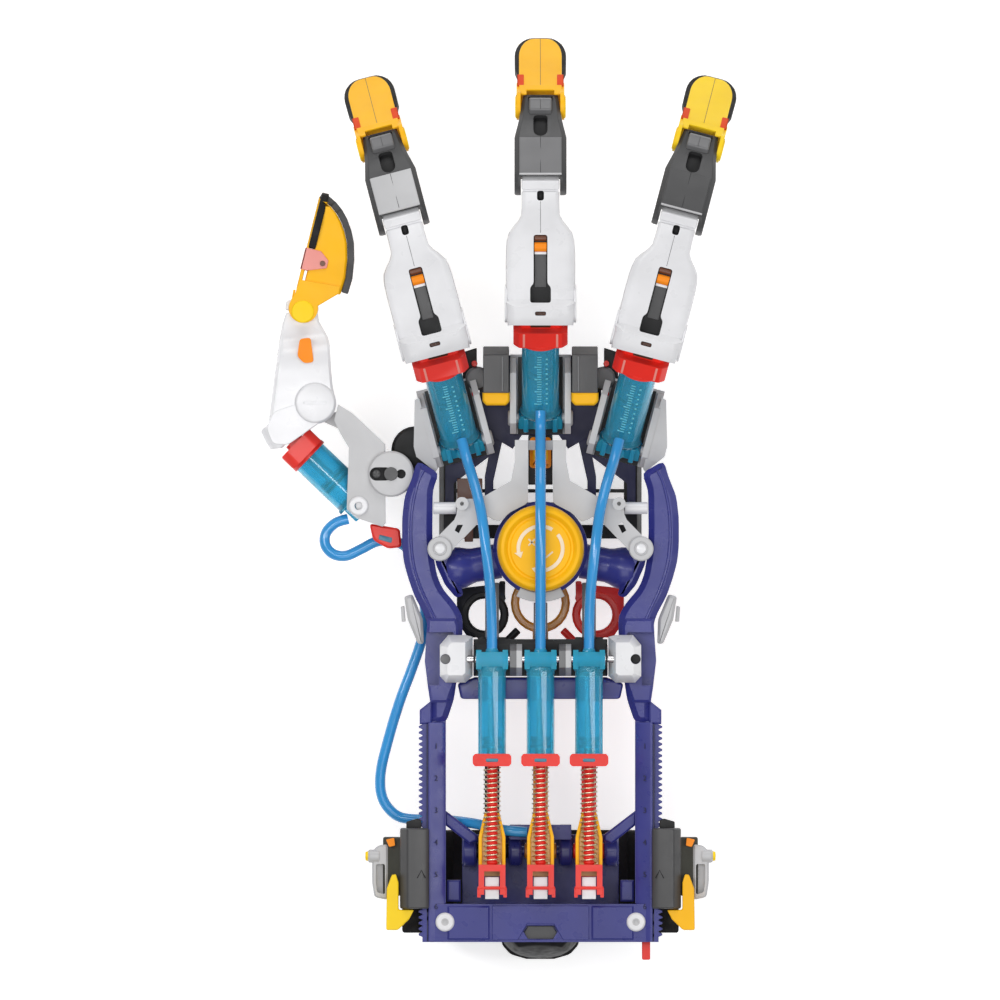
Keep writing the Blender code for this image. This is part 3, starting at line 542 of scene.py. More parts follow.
# ---------------------------------------------------------------- hoses


def smooth_route(points, steps=6):
    """Points on a smooth curve through the given points."""
    points = [Vector(p) for p in points]
    route = []
    for i in range(len(points) - 1):
        before, after = points[max(i - 1, 0)], points[min(i + 2, len(points) - 1)]
        here, there = points[i], points[i + 1]
        for k in range(steps):
            t = k / steps
            swing = (2 * before - 5 * here + 4 * there - after) * t * t
            swing += (3 * here - before - 3 * there + after) * t**3
            route.append((2 * here + (there - before) * t + swing) / 2)
    return route + [points[-1]]


def hose(name, points):
    """A soft tube between two cylinders' ports."""
    route = smooth_route(points)
    curve = bpy.data.curves.new(name, "CURVE")
    curve.dimensions = "3D"
    curve.bevel_depth = HOSE_DIAMETER / 2 * MM
    curve.bevel_resolution = 6
    curve.use_fill_caps = True
    line = curve.splines.new("POLY")
    line.points.add(len(route) - 1)
    line.use_smooth = True
    for spot, point in zip(line.points, route):
        spot.co = (*(point * MM), 1)
    curve.materials.append(LOOKS["hose"])
    obj = bpy.data.objects.new(f"{name}_tube", curve)
    bpy.context.scene.collection.objects.link(obj)
    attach(obj, "frame")
    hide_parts(name)


# ---------------------------------------------------------------- fingers


def pose(point, lean=0, drop=0):
    move = Matrix.Translation(Vector(point) * MM)
    return move @ Matrix.Rotation(radians(lean), 4, "Z") @ Matrix.Rotation(radians(-drop), 4, "X")


def shifted(place, along, up, drop=0):
    return place @ Matrix.Translation((0, along * MM, up * MM)) @ Matrix.Rotation(radians(-drop), 4, "X")


def finger_place(finger):
    x, y, lean = FINGERS[finger]
    ahead = -TRUNNION[0]
    return pose((x - ahead * sin(radians(lean)), y + ahead * cos(radians(lean)), KNUCKLE_Z), lean)


def thumb_frame(point, lean):
    """A place lying on its side: the back of the thumb faces left."""
    move = Matrix.Translation(Vector(point) * MM)
    return move @ Matrix.Rotation(radians(lean), 4, "Z") @ Matrix.Rotation(radians(-90), 4, "Y")


def proximal(name, place, node):
    """The white first segment: a bottle-shaped shell with a collar, a keyhole slot and a hinge barrel."""
    part = partial(piece, body=name, place=place)
    rows = [  # y, half width, underside, top, how far the middle lies behind the sides
        (-17.6, 14.2, 16.6, 21.6, 0), (-14.4, 14.9, 13.3, 23.2, 0.8), (-7.6, 15.1, 3, 24.9, 4.4),
        (-6.4, 14.9, -5.4, 21.3, 0), (0, 15.0, -8.6, 19.7, 0), (8, 15.1, -8.4, 17.6, 0),
        (15, 15.0, -8.7, 15.8, 0), (19, 14.7, -9, 14.7, 0), (22.4, 13.9, -9.2, 13.8, 0),
        (25.2, 12.0, -9.3, 13.1, 0), (27.8, 9.8, -9, 12.3, 0), (30.4, 8.4, -8, 11.5, 0),
        (35, 8.2, -6, 10.2, 0), (40.3, 8.2, -6, 7.9, 0),
    ]
    sections = [section(y, half, low, high, 0.27 * half, 0.2 * half, steps=3, bow=bow)
                for y, half, low, high, bow in rows]
    slot = softened(both_sides([(4.5, -7.8), (4.5, -1), (3, 0.5), (3, 21.7)]), 1.2)
    room = arc((0, 0), 7.3, 90, -60, 12) + [(9, -12), (-20, -12), (-20, 3.5), (-6, 7.3)]
    window = softened(both_sides([(1.5, 36.6), (1.5, 40.9)]), 1.2)
    obj = part(
        f"{name}_shell",
        "white",
        [loft(sections), bar((-7.9, PROXIMAL, 0), (7.9, PROXIMAL, 0), 6.6, sides=40)],
        bevel=0.4,
        cuts=[
            slab(slot, 11.5, 30),
            slab(window, 3, 14),
            slab(softened(both_sides([(2.4, -13.4), (2.4, -11.6)]), 0.8), 16, 30),
            block((-3.6, 3.6), (-22, -5.5), (-3, 20)),
            slab(room, -8.3, 8.3, "x"),
            bar((-20, 0, 0), (20, 0, 0), 2.8),
        ],
    )
    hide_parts(node)
    cheek = softened([(-16.6, 14), (-15.4, 20.6), (-8, 22.4), (-1.4, 18), (0.6, 8), (-2, -3), (-7, -4)], 2)
    cheeks = [slab(cheek, *sorted((sign * 14.4, sign * 15.5)), "x") for sign in (-1, 1)]
    part(f"{name}_cheeks", "white", cheeks, bevel=0.35)
    lip = [(41.4, 5.2), (41.4, 7.9), (45, 7.3), (45.9, 5.6), (45, 4)]
    part(f"{name}_hinge_lip", "white", [slab(lip, -8.2, 8.2, "x")], bevel=0.6, segments=3)
    # The black floor and the narrower dark grey strip over it are painted shade down in the keyhole slot,
    # darkest at the wide end.
    part(f"{name}_slot_floor", "black", [slab(slot, 11.2, 12.2)], bevel=0)
    strip = softened(both_sides([(2.5, -1), (2.5, 13.6)]), 0.5)
    part(f"{name}_slot_strip", "dark_grey", [slab(strip, 12, 12.5)], bevel=0.15)
    part(f"{name}_roller", "orange", [bar((-2.7, 16.4, 12.6), (2.7, 16.4, 12.6), 2.1)], bevel=0.3)
    part(f"{name}_roller_clip", "white", [block((-2.6, 2.6), (13.2, 14.4), (12, 13.6))], bevel=0.2)
    part(f"{name}_roller_pin", "brown", [bar((-2.6, 20.3, 12.4), (2.6, 20.3, 12.4), 1.3)], bevel=0.2)
    part(f"{name}_window_floor", "black", [block((-1.5, 1.5), (36.6, 40.8), (3.2, 5))], bevel=0)
    part(f"{name}_catch", "brown", [block((-2.3, 2.3), (-13.3, -11.7), (16.2, 18.6))], bevel=0.2)
    wire(f"{name}_seam", "mid_grey", name, [(0, 22.6, 13.8), (0, 30, 11.66), (0, 36.2, 9.75)], 0.12, place)
    wire(f"{name}_collar_seam", "mid_grey", name, [(0, -8.4, 22.9), (0, -11, 24.5)], 0.1, place)


def middle_segment(name, place, node, panel):
    """The grey second segment: a chamfered wedge with a black slot, a raised panel and a front hook."""
    part = partial(piece, body=name, place=place)
    rows = [  # y, half width, underside, top, chamfer
        (-1.6, 11.3, -2.0, 2.4, 0.6), (-0.6, 11.3, -5, 5.4, 1.2), (2.4, 11.3, -7.4, 8, 1.8),
        (6, 11.3, -8.6, 8.5, 1.9), (21.7, 11.3, -9, 8.1, 1.9), (30.5, 9.4, -7.4, 6.7, 1.7),
        (41.6, 7.8, -4.4, 4.1, 1.4), (44.1, 7.6, -2, 1.8, 0.9),
    ]
    sections = [section(y, half, low, high, edge, 0.8 * edge, steps=1) for y, half, low, high, edge in rows]
    slot = arc((0, 25), 3, 180, 360) + arc((1.4, 31), 1.6, 0, 90, 3) + arc((-1.4, 31), 1.6, 90, 180, 3)
    fork = [(-9, -12), (8.6, -12), (8.6, 6.7), (3.4, 7), (3.4, 12), (-9, 12)]
    obj = part(
        f"{name}_shell",
        "dark_grey",
        [loft(sections)],
        bevel=0.3,
        cuts=[slab(fork, -8.5, 8.5, "x"), slab(slot, 2.4, 12)],
    )
    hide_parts(node)
    part(f"{name}_slot_floor", "black", [slab(slot, 2.2, 3)], bevel=0)
    plate = [section(y, 9.2, 7, 8.75 if y < 20 else 8.45, 0.3, 0.25, steps=1) for y in (3.8, 13, 21.2)]
    part(f"{name}_panel", panel, [loft(plate)], bevel=0.15)
    edge = [block((-9.2, 9.2), (3.4, 4.2), (7.2, 8.85))]
    part(f"{name}_panel_edge", "light_grey", edge, bevel=0.25)
    wire(f"{name}_seam", "black", name, [(0, 4.3, 8.76), (0, 20.8, 8.46), (0, 21.8, 8.1)], 0.11, place)
    hook = [(33, 5.6), (34.4, 8.2), (39.6, 7.6), (41.2, 5.8), (41.2, 3), (33, 3)]
    part(f"{name}_hook", "mid_grey", [slab(hook, -4.9, 4.9, "x")], bevel=0.7, segments=3)
    nose = [(40.9, 6.2), (42.6, 5.2), (43.4, 2.5), (40.9, 2.5)]
    part(f"{name}_hook_nose", "rubber", [slab(nose, -5.3, 5.3, "x")], bevel=0.4)
    wire(f"{name}_hook_seam", "dark_grey", name, [(0, 34.6, 8.2), (0, 39.5, 7.6)], 0.13, place)


PAD_SIDE = [(9.4, -17.9), (16.3, -18.7), (24.6, -18.1), (32, -16.6), (37, -14.6), (41.5, -12), (45, -9.2),
            (47.8, -6), (49.8, -2.6), (50.9, 0.6)]


def tip(name, place, node, look, clip_start):
    """The fingertip: a bright nail plate, a rubber rim and pad band, and red clips at the nail's root."""
    part = partial(piece, body=name, place=place)
    inner = offset_path(PAD_SIDE, 3.0)
    rows = [(y, min(9.3, 5 + 1.2 * (51.5 - y)), z) for y, z in inner if y < 47.5]
    rows = [(8.6, 9.3, -14.6)] + rows
    core = [section(y, half, low, 2.3 - 0.07 * y, 1.2, 1.2, steps=2) for y, half, low in rows]
    ears = arc((0, 0), 6.4, 80, 290, 16) + [(9, -14), (12, -14), (12, 3.6), (6, 4.6)]
    obj = part(
        f"{name}_body",
        look,
        [loft(core), slab(ears, 8.6, 10.4, "x"), slab(ears, -10.4, -8.6, "x")],
        bevel=0.4,
    )
    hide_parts(node)
    bands = []
    for count, half in ((7, 9.4), (8, 7.8), (10, 5.4)):
        side = PAD_SIDE[:count]
        bands.append(slab(side + offset_path(side, 2.9)[::-1], -half, half, "x"))
    part(f"{name}_pad_band", "grey_rubber", bands, bevel=0.5)
    nail = shifted(place, 0, NAIL_RISE, NAIL_DROP)
    rim_start = clip_start + 9.8
    rim = both_sides([(9.7, rim_start), (11.1, rim_start + 6)] + rounded_end(3, 36, 8.2, 15.2))
    piece(f"{name}_rim", "rubber", [slab(rim, -3.9, -0.7)], name, nail, bevel=0.5, segments=3)
    plate = both_sides([(9.3, 7.7)] + rounded_end(2.6, 34.4, 6.7, 14.9))
    piece(f"{name}_nail", look, [slab(plate, -1.5, 0)], name, nail, bevel=0.3, segments=3)
    root = [(6, 0.6), (9.2, 0.6), (9.2, 7.3), (-9.2, 7.3), (-9.2, 0.6), (-6, 0.6), (-6, 3.6), (6, 3.6)]
    part(f"{name}_nail_root", look, [slab(root, 4.8, 5.7)], bevel=0.2)
    wire(f"{name}_nail_seam", "brown", name, [(0, 8.2, 0.02), (0, 49, 0.02)], 0.1, nail)
    cheek = [(0, -2.5), (0, 0.5), (9.6, 0.5), (9.6, -6.5), (6.4, -10.6), (3, -10.6)]
    cheek = [(clip_start + y, z) for y, z in cheek]
    clips = []
    for sign in (-1, 1):
        near, far = sorted((sign * 9.4, sign * 10.1))
        clips.append(slab(cheek, near, far, "x"))
        top_near, top_far = sorted((sign * 7.2, sign * 10.1))
        clips.append(block((top_near, top_far), (clip_start, clip_start + 9.6), (-0.4, 0.5)))
    clip_look = "orange_red" if clip_start < 12 else "pink"
    piece(f"{name}_clips", clip_look, clips, name, nail, bevel=0.3)
    pin_y = clip_start + 4.6
    pins = [bar((sign * 9.8, pin_y, -8.4), (sign * 10.7, pin_y, -8.4), 1.2) for sign in (-1, 1)]
    piece(f"{name}_clip_pins", "brown", pins, name, nail, bevel=0.2)
    cap = [(0, 0), (4.7, 0), (5, 0.3), (4.4, 0.7), (0, 0.7)]
    caps = [turned(cap, (sign * 10.3, -1.5, 0), (sign, 0, 0)) for sign in (-1, 1)]
    part(f"{name}_hinge_caps", "lemon", caps, bevel=0.2)


def slave_angle(trunnion):
    return degrees(atan2(CRANK[1] - trunnion[1], CRANK[0] - trunnion[0]))


def slave_reach(trunnion):
    return hypot(CRANK[1] - trunnion[1], CRANK[0] - trunnion[0])


def scale_marks(first, last, radius, spacing=1.25):
    """Fine raised lines across a cylinder, every fifth one longer, and a column of dots beside them."""
    shapes = []
    count = int((last - first) / spacing)
    for i in range(count + 1):
        y = first + i * spacing
        reach = 2.6 if i % 5 == 0 else 1.5
        shapes.append(block((-reach, 0.4), (y - 0.14, y + 0.14), (radius - 0.5, radius + 0.12)))
        if i % 2 == 0:
            shapes.append(block((2.1, 3.1), (y - 0.3, y + 0.3), (radius - 1.1, radius - 0.35)))
    return shapes


def slave_cylinder(name, rod_body, root, trunnion, nodes):
    """Clear barrel on a flanged foot with cross pins, a red end cap, a scale and a piston."""
    reach = slave_reach(trunnion)
    place = shifted(root, *trunnion, -slave_angle(trunnion))
    part = partial(piece, body=name, place=place)
    cap = reach - 13.4
    tube = [(6.6, cap), (6.6, 6.5), (0, 6.5), (0, 3.4), (8.8, 3.4), (8.8, 4.8), (8.1, 5.4), (8.1, cap)]
    tube.append(tube[0])
    obj = part(f"{name}_clear_barrel", "barrel", [turned(tube, along=(0, 1, 0))], bevel=0)
    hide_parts(nodes[0])
    foot = softened(both_sides([(9.6, -3.2), (9.6, 1.4), (7.6, 3.4)]), 0.8)
    part(
        f"{name}_foot",
        "foot",
        [slab(foot, -4.4, 4.4), turned([(0, 0), (3.4, 0), (3.0, 3), (0, 3)], (0, -0.5, 3.2)),
         block((-7.4, -5.2), (-3.6, 3.4), (3.6, 6.4)), block((5.2, 7.4), (-3.6, 3.4), (3.6, 6.4))],
        bevel=0.4,
    )
    pins = [bar((sign * 9.4, 0, 0), (sign * 12.1, 0, 0), 2.2) for sign in (-1, 1)]
    part(f"{name}_pins", "white", pins, bevel=0.3)
    flange = softened(both_sides([(9.2, -8.6), (11.8, -5.6), (11.8, 5.6), (9.2, 8.6)]), 0.8)
    lug = softened(both_sides([(8, -4.2), (9.3, -3), (9.3, 3), (8, 4.2)]), 0.6)
    part(
        f"{name}_cap",
        "red",
        [slab(flange, cap, cap + 7.4, "y"), slab(lug, cap + 6.9, cap + 9, "y")],
        bevel=0.55,
        segments=3,
        cuts=[bar((0, cap - 3, 0), (0, cap + 4, 0), 6.6), bar((0, cap, 0), (0, cap + 14, 0), 2.9),
              block((-4.4, 4.4), (cap + 7.7, cap + 11), (1, 12))],
    )
    window = block((-4.2, 4.2), (cap + 7.6, cap + 8), (1.4, 4))
    part(f"{name}_cap_window", "brown", [window], bevel=0)
    skirt = [(7.7, 0), (8.9, 0), (8.9, 1.8), (7.7, 1.8), (7.7, 0)]
    part(f"{name}_cap_skirt", "red", [turned(skirt, (0, cap - 1.5, 0), (0, 1, 0))], bevel=0.2)
    ribs = [block((x - 0.5, x + 0.5), (cap + 0.4, cap + 7), (8.2, 8.85)) for x in (-7.2, 7.2)]
    part(f"{name}_cap_ribs", "pink", ribs, bevel=0.25)
    part(f"{name}_marks", "tick", scale_marks(12, cap - 4, 8.1), bevel=0)
    keep_node(nodes[1], "teal", 0.25)
    seal = [(5.2, 0), (6.35, 0.2), (6.35, 1.4), (5.2, 1.6), (5.2, 0)]
    rings = [turned(seal, (0, reach - 31.8 + 2.4 * i, 0), (0, 1, 0)) for i in range(2)]
    piece(f"{name}_seals", "rubber", rings, rod_body, place, bevel=0)


def finger(name):
    root = finger_place(name)
    knuckle = shifted(root, PROXIMAL, 0, MIDDLE_DROP)
    end = shifted(knuckle, MIDDLE, 0, TIP_DROP)
    proximal(f"{name}_finger", root, f"{name}_proximal")
    panel = {"index": "light_grey", "middle": "mid_grey", "ring": "dark_grey"}[name]
    middle_segment(f"{name}_middle", knuckle, f"{name}_middle_segment", panel)
    look = {"index": "amber", "middle": "amber", "ring": "lemon"}[name]
    tip(f"{name}_fingertip", end, f"{name}_tip", look, 8)
    nodes = (f"{name}_slave_barrel", f"{name}_slave_rod")
    slave_cylinder(f"{name}_slave", f"{name}_push_rod", root, TRUNNION, nodes)
    keep_node(f"{name}_bracket", "light_grey", 0.6)
    # A thin black sheet inside the bracket, under the cylinder: painted shade for the bracket's dark inside.
    liner = block((-9.7, 9.7), (-64.5, -31), (-20, -19.7))
    piece(f"{name}_bracket_shade_sheet", "black", [liner], place=root, bevel=0)
    screw = [(0, 0), (3.4, 0), (3.4, 0.5), (2.6, 0.9), (0, 0.9)]
    screws = [turned(screw, (sign * 13.2, *TRUNNION), (sign, 0, 0)) for sign in (-1, 1)]
    piece(f"{name}_bracket_caps", "light_grey", screws, place=root, bevel=0.2)


# ---------------------------------------------------------------- thumb


def thumb():
    root = thumb_frame(THUMB_JOINT, THUMB_LEAN)
    end_point = root @ Vector((0, PROXIMAL * MM, 0)) / MM
    end = thumb_frame(end_point, THUMB_TIP_LEAN)
    proximal("thumb_segment", root, "thumb_proximal")
    tip("thumb_end", end, "thumb_tip", "amber", 16.6)
    nodes = ("thumb_slave_barrel", "thumb_slave_rod")
    slave_cylinder("thumb_slave", "thumb_push_rod", root, THUMB_TRUNNION, nodes)
    keep_node("thumb_bracket", "light_grey", 0.6)
    keep_node("thumb_mount", "dark_grey", 0.6)
    pocket = softened([(17.6, -1.6), (28.4, -1.6), (28.4, 3.2), (21, 5.2), (17.6, 2.6)], 1.4)
    piece("thumb_pocket", "orange", [slab(pocket, 15.0, 15.35, "x")], "thumb_segment", root, bevel=0.12)
    joint = pose(THUMB_JOINT)
    disc = [(0, 2.6), (7.4, 2.6), (8.2, 2.2), (8.8, 1.2), (9.2, 0), (0, 0)]
    piece("thumb_joint_disc", "white", [turned(disc, (0, 0, 14.2))], "thumb_base", joint, bevel=0.2,
          cuts=[slab(softened([(-5, -0.7), (5, -0.7), (5, 0.7), (-5, 0.7)], 0.6), 16.2, 18)])
    swivel = pose((*SWIVEL, 79.2))
    cover = [(0, 2.2), (9.2, 2.2), (9.9, 1.6), (10, 0), (0, 0)]
    slot = arc((-2.4, 0), 2.9, -90, 90, 10) + arc((-6.4, 0), 2.9, 90, 270, 10)
    piece("thumb_swivel_cover", "light_grey", [turned(cover)], "thumb_base", swivel, bevel=0.2,
          cuts=[slab(slot, 0.9, 4), bar((4.4, 0, 0.9), (4.4, 0, 4), 2)])
    inside = [slab(slot, 0.5, 1.1), bar((4.4, 0, 0.5), (4.4, 0, 1.1), 2)]
    piece("thumb_swivel_slot", "rubber", inside, "thumb_base", swivel, bevel=0)
    stop = arc((-2.4, 0), 2.7, -75, 75, 8)
    piece("thumb_swivel_stop", "mid_grey", [slab(stop, 1.1, 1.7)], "thumb_base", swivel, bevel=0.1)
    screw = turned([(0, 0), (1.8, 0), (1.8, 0.4), (1.4, 0.7), (0, 0.7)], (-6.3, 0, 1.1))
    piece("thumb_swivel_screw", "dark_grey", [screw], "thumb_base", swivel, bevel=0.1,
          cuts=[block((-7.6, -5), (-0.25, 0.25), (1.4, 3)), block((-6.55, -6.05), (-1.3, 1.3), (1.4, 3))])
    washer = [(1.7, 0), (4.2, 0), (4.2, 1), (3.6, 1.4), (1.7, 1.4), (1.7, 0)]
    piece("thumb_cheek_washer", "white", [turned(washer, (-78.9, -2.8, 79.2))], "thumb_base", bevel=0.15)
    hub = [(0, 0), (10.3, 0), (10.3, 1), (9.2, 2), (0, 2.4)]
    piece("thumb_mount_dome", "black", [turned(hub, (-54.4, 21.5, 55.6))], bevel=0.2)
    clip = softened([(-74.2, -10.4), (-61, -12.6), (-60.2, -20.6), (-66, -21.4), (-72.6, -17.6)], 1.6)
    window = softened([(-70.4, -17.3), (-64.6, -18.9), (-64.2, -16.6), (-69.8, -15.2)], 0.6)
    shape = crowned(clip, 72, 76, 0.9, 0.9)
    piece("thumb_hose_clip", "red", [shape], bevel=0.3, cuts=[slab(window, 74.5, 78)])
    piece("thumb_hose_clip_window", "teal", [slab(window, 74, 74.8)], bevel=0)


# ---------------------------------------------------------------- frame


def rack_edge(start, end):
    """The toothed outer edge of a left rail, from front to rear."""
    points = []
    y = start
    while y - TOOTH_PITCH >= end:
        points += [(-RAIL_OUT, y), (-TOOTH_OUT, y - 0.7), (-TOOTH_OUT, y - 1.4), (-RAIL_OUT, y - 2.1)]
        y -= TOOTH_PITCH
    return points


def side_frame(side, sign):
    """The S-curved shell beside the hand, with broad chamfers, and the toothed rail behind it."""
    outside = [(-44, 11.5), (-53.5, 16.9), (-55.5, 9.8), (-58.9, 1.5), (-60, -8), (-60, -20), (-59.3, -27),
               (-57.4, -34), (-54.6, -42), (-50.5, -49.5), (-48.9, -54.4), (-49.3, -61.3), (-50, -70),
               (-48.9, -80), (-47.5, -86.7), (-47.5, -97)]
    inside = [(-RAIL_IN, -97), (-37.5, -86.7), (-36, -76), (-33.8, -58), (-33.8, -50.5), (-37, -45),
              (-42.4, -38.8), (-44.9, -33), (-46.4, -24), (-46.9, -15), (-46.7, 4)]
    shell = softened(outside + inside, 2.5, 2)
    pocket = [(38, -57.5), (60, -57.5), (60, -80.5), (43.9, -80.5), (43.9, -72), (28, -72)]
    shoulder = [(-47, -86.9), (-52.4, -91.2), (-52.4, -97.4), (-47, -97.4)]
    rail = [(-RAIL_IN, -96), (-50.5, -96)] + rack_edge(RACK_START, FRAME_END) + [(-RAIL_IN, FRAME_END)]
    raised = [(-49, -51.5), (-49.6, -61.3), (-50.2, -70), (-49, -80), (-47.8, -88), (-40, -88),
              (-35.8, -76), (-35.4, -55), (-36.6, -51.5)]
    obj = piece(
        f"{side}_shell",
        "navy",
        [crowned(sided(shell, -sign), FRAME_LOW, FRAME_HIGH, 2.6, 2.6),
         crowned(sided(raised, -sign), FRAME_LOW + 1, FRAME_HIGH + 1.6, 1.2, 1.2),
         crowned(sided(shoulder, -sign), FRAME_LOW, FRAME_HIGH - 1, 0.8, 0.8)],
        bevel=0.5,
        segments=3,
        cuts=[slab(sided(pocket, sign), 81.5, 90)],
    )
    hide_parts(f"{side}_side_frame")
    piece(f"{side}_rack", "navy", [slab(sided(rail, -sign), FRAME_LOW, 86)], bevel=0.2)
    ridge = [(41.3, 85), (41.3, 86.2), (43, 87), (47.3, 88.6), (48.6, 88.6), (48.6, 85)]
    piece(f"{side}_ridge", "navy", [slab(sided(ridge, sign), BEAM_END + 0.2, -96.5, "y")], bevel=0.3)
    # The lip is in the darkest navy: partly the rail's own darker colour, partly painted shade along the low
    # ledge beside the teeth.
    fin = [(48.4, 86), (48.4, 88), (49.4, 88), (49.4, 86)]
    piece(f"{side}_rail_lip", "navy_dark", [slab(sided(fin, sign), BEAM_END + 0.2, -97.5, "y")], bevel=0.15)
    rib = [(-50.6, 12.6), (-53.2, 7), (-55.6, -4), (-56.2, -16), (-55, -28), (-52, -38), (-48.4, -46),
           (-45.6, -52)]
    shaped = smooth_route([(-x * sign, y, FRAME_HIGH - 0.1) for x, y in rib], 4)
    wire(f"{side}_shell_rib", "navy", "frame", [tuple(p) for p in shaped], 0.7)
    for i in range(6):
        digit(f"{side}_scale_digit_{i + 1}", str(i + 1), (sign * 45.2, -107 - 13.9 * i, 88.25), sign)
    hinge = [(-55.5, -41), (-59.2, -42), (-57.6, -52), (-53.2, -62.6), (-50.6, -62.6), (-51, -52)]
    hinge = sided(softened(hinge, 1.2), -sign)
    piece(f"{side}_hinge_cover", "light_grey", [crowned(hinge, 72, 84, 1.2, 1.2)], bevel=0.4)
    tab = [(-59, -46), (-60.6, -46.4), (-60.2, -53), (-58.4, -53)]
    piece(f"{side}_hinge_tab", "light_grey", [slab(sided(tab, -sign), 74, 79)], bevel=0.3)


def digit(name, text, place, sign):
    """A small scale number engraved on a rail."""
    curve = bpy.data.curves.new(name, "FONT")
    curve.body = text
    curve.size = 3.4 * MM
    curve.extrude = 0.1 * MM
    curve.align_x = "CENTER"
    curve.align_y = "CENTER"
    curve.materials.append(LOOKS["navy_dark"])
    obj = bpy.data.objects.new(name, curve)
    bpy.context.scene.collection.objects.link(obj)
    obj.location = Vector(place) * MM
    obj.rotation_euler = (0, radians(-sign * 20), 0)
    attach(obj, "frame")


def base_beam():
    """The rear beam keeps its CAD shape and gains seams, a pull notch, washers and edge panels."""
    keep_node("base_beam", "navy", 0.5)
    for side, sign in SIDES:
        washer = [(1.6, 0), (4.1, 0), (4.1, 0.8), (3.4, 1.5), (1.6, 1.5), (1.6, 0)]
        x, y = sign * BEAM_SCREW[0], BEAM_SCREW[1]
        piece(f"{side}_beam_washer", "white", [turned(washer, (x, y, FRAME_HIGH))], bevel=0.15)
        screw = turned([(0, 0), (2.3, 0), (2.3, 1), (1.8, 1.4), (0, 1.4)], (x, y, FRAME_HIGH))
        socket = bar((x, y, 88.9), (x, y, 92), 1.1, sides=6)
        piece(f"{side}_beam_screw", "light_grey", [screw], bevel=0.1, cuts=[socket])
        panel = [(22, -190.9), (40.4, -190.9), (40.4, -176), (22, -176)]
        piece(f"{side}_beam_panel", "navy", [crowned(sided(panel, sign), 87.6, 88.7, 0.8, 0.7)], bevel=0.2)
        low = [(34.6, -174.4), (40.6, -174.4), (40.6, -165), (34.6, -165)]
        piece(f"{side}_deck_pad", "navy", [crowned(sided(low, sign), 74.5, 80, 0.8, 0.8)], bevel=0.2)
        strut = [(41.5, -134.6), (41.5, -141), (30.8, -149.4), (27.4, -148), (27.4, -145.4)]
        piece(f"{side}_strut", "navy", [crowned(sided(strut, sign), 76, 82, 0.8, 0.8)], bevel=0.3)
    notch = [(-8.7, -190.6), (8.7, -190.6), (5.3, -184.9), (-5.3, -184.9)]
    piece("beam_notch_insert", "dark_grey", [slab(notch, 84.1, 85.6)], bevel=0.2)
    centre_panel = [(-21, -190.9), (-9.8, -190.9), (-5.8, -184), (5.8, -184), (9.8, -190.9), (21, -190.9)]
    centre_panel += [(21, -176), (-21, -176)]
    piece("beam_centre_panel", "navy", [slab(centre_panel, 87.6, 88.6)], bevel=0.35)
    pull = softened([(44, -191.4), (47.6, -191.4), (47.6, -199.6), (44, -199.6)], 0.8)
    piece("release_tab", "red", [slab(pull, 78, 81)], bevel=0.4)
    for i, (low, high) in enumerate(((-34, -27.8), (-13.6, -8.2), (8.2, 13.6), (27.8, 34))):
        y, z = LEVER_PIVOT
        cheek = arc((y, z), 6.6, 0, 180, 16) + [(y - 6.6, 57), (y + 6.6, 57)]
        shape = slab(cheek, low + 0.3, high - 0.3, "x")
        piece(f"lever_bearing_{i}", "navy", [shape], bevel=0.9, segments=3)


def corner_block(side, sign):
    """A white faceted block with a socket in its outer facet."""
    outline = [(29.4, -59.5), (29.4, -76.4), (32.5, -79.3), (41, -79.3), (43.6, -76.5), (43.6, -63),
               (40, -58.7), (32.5, -58.7)]
    x = sign * SOCKET_X
    obj = piece(
        f"{side}_corner",
        "white",
        [crowned(sided(outline, sign), 88.3, 101, 3.2, 5.5)],
        bevel=0.45,
        segments=3,
        cuts=[bar((x, AXLE_Y, 88), (x, AXLE_Y, 110), 2.2),
              bar((sign * 20, AXLE_Y, AXLE_Z), (sign * 34, AXLE_Y, AXLE_Z), AXLE_HOLE)],
    )
    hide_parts(f"{side}_corner_block")
    # The socket is a dark plug down in the bore: painted shade, mid grey in the left block and black in the
    # right.
    look = "mid_grey" if sign < 0 else "black"
    piece(f"{side}_corner_socket", look, [bar((x, AXLE_Y, 92), (x, AXLE_Y, 95.6), 2.1)], bevel=0.2)


def crossbars():
    keep_node("wrist_crossbar", "black", 0.4)
    keep_node("frame_crossbar", "navy", 1.2)
    keep_node("cylinder_axle", "steel", 0.2)
    profile = [(-76.4, 90.4), (-76.4, 91.2), (-72.8, 101.9), (-65.4, 101.9), (-62.6, 91.2), (-62.6, 90.4)]
    for name, centre in (("left", -10.65), ("right", 10.65)):
        # Each clip is one profile cut down the middle: the left half in mid grey is painted shade, and the
        # right half in light grey is painted light.
        for shade, look, low, high in (("dark", "mid_grey", -2.65, 0.2), ("light", "light_grey", 0.2, 2.65)):
            hole = bar((centre - 4, AXLE_Y, AXLE_Z), (centre + 4, AXLE_Y, AXLE_Z), AXLE_HOLE)
            half = slab(profile, centre + low, centre + high, "x")
            piece(f"{name}_clip_{shade}", look, [half], cuts=[hole])
    for finger_name, x in LANES.items():
        strip = [(x - 3, 84), (x - 3, 85.2), (x - 1.2, 86.4), (x + 1.2, 86.4), (x + 3, 85.2), (x + 3, 84)]
        front = -44.6 if x == 0 else -36
        piece(f"{finger_name}_hose_guide", "mid_grey", [slab(strip, -61, front, "y")], bevel=0.3)
    lugs = [block((x - 1.6, x + 1.6), (-61.2, -59.6), (83, 89.4))
            for x in (-31, -25.4, -16.6, 16.6, 25.4, 31)]
    piece("crossbar_stops", "black", lugs, bevel=0.4)


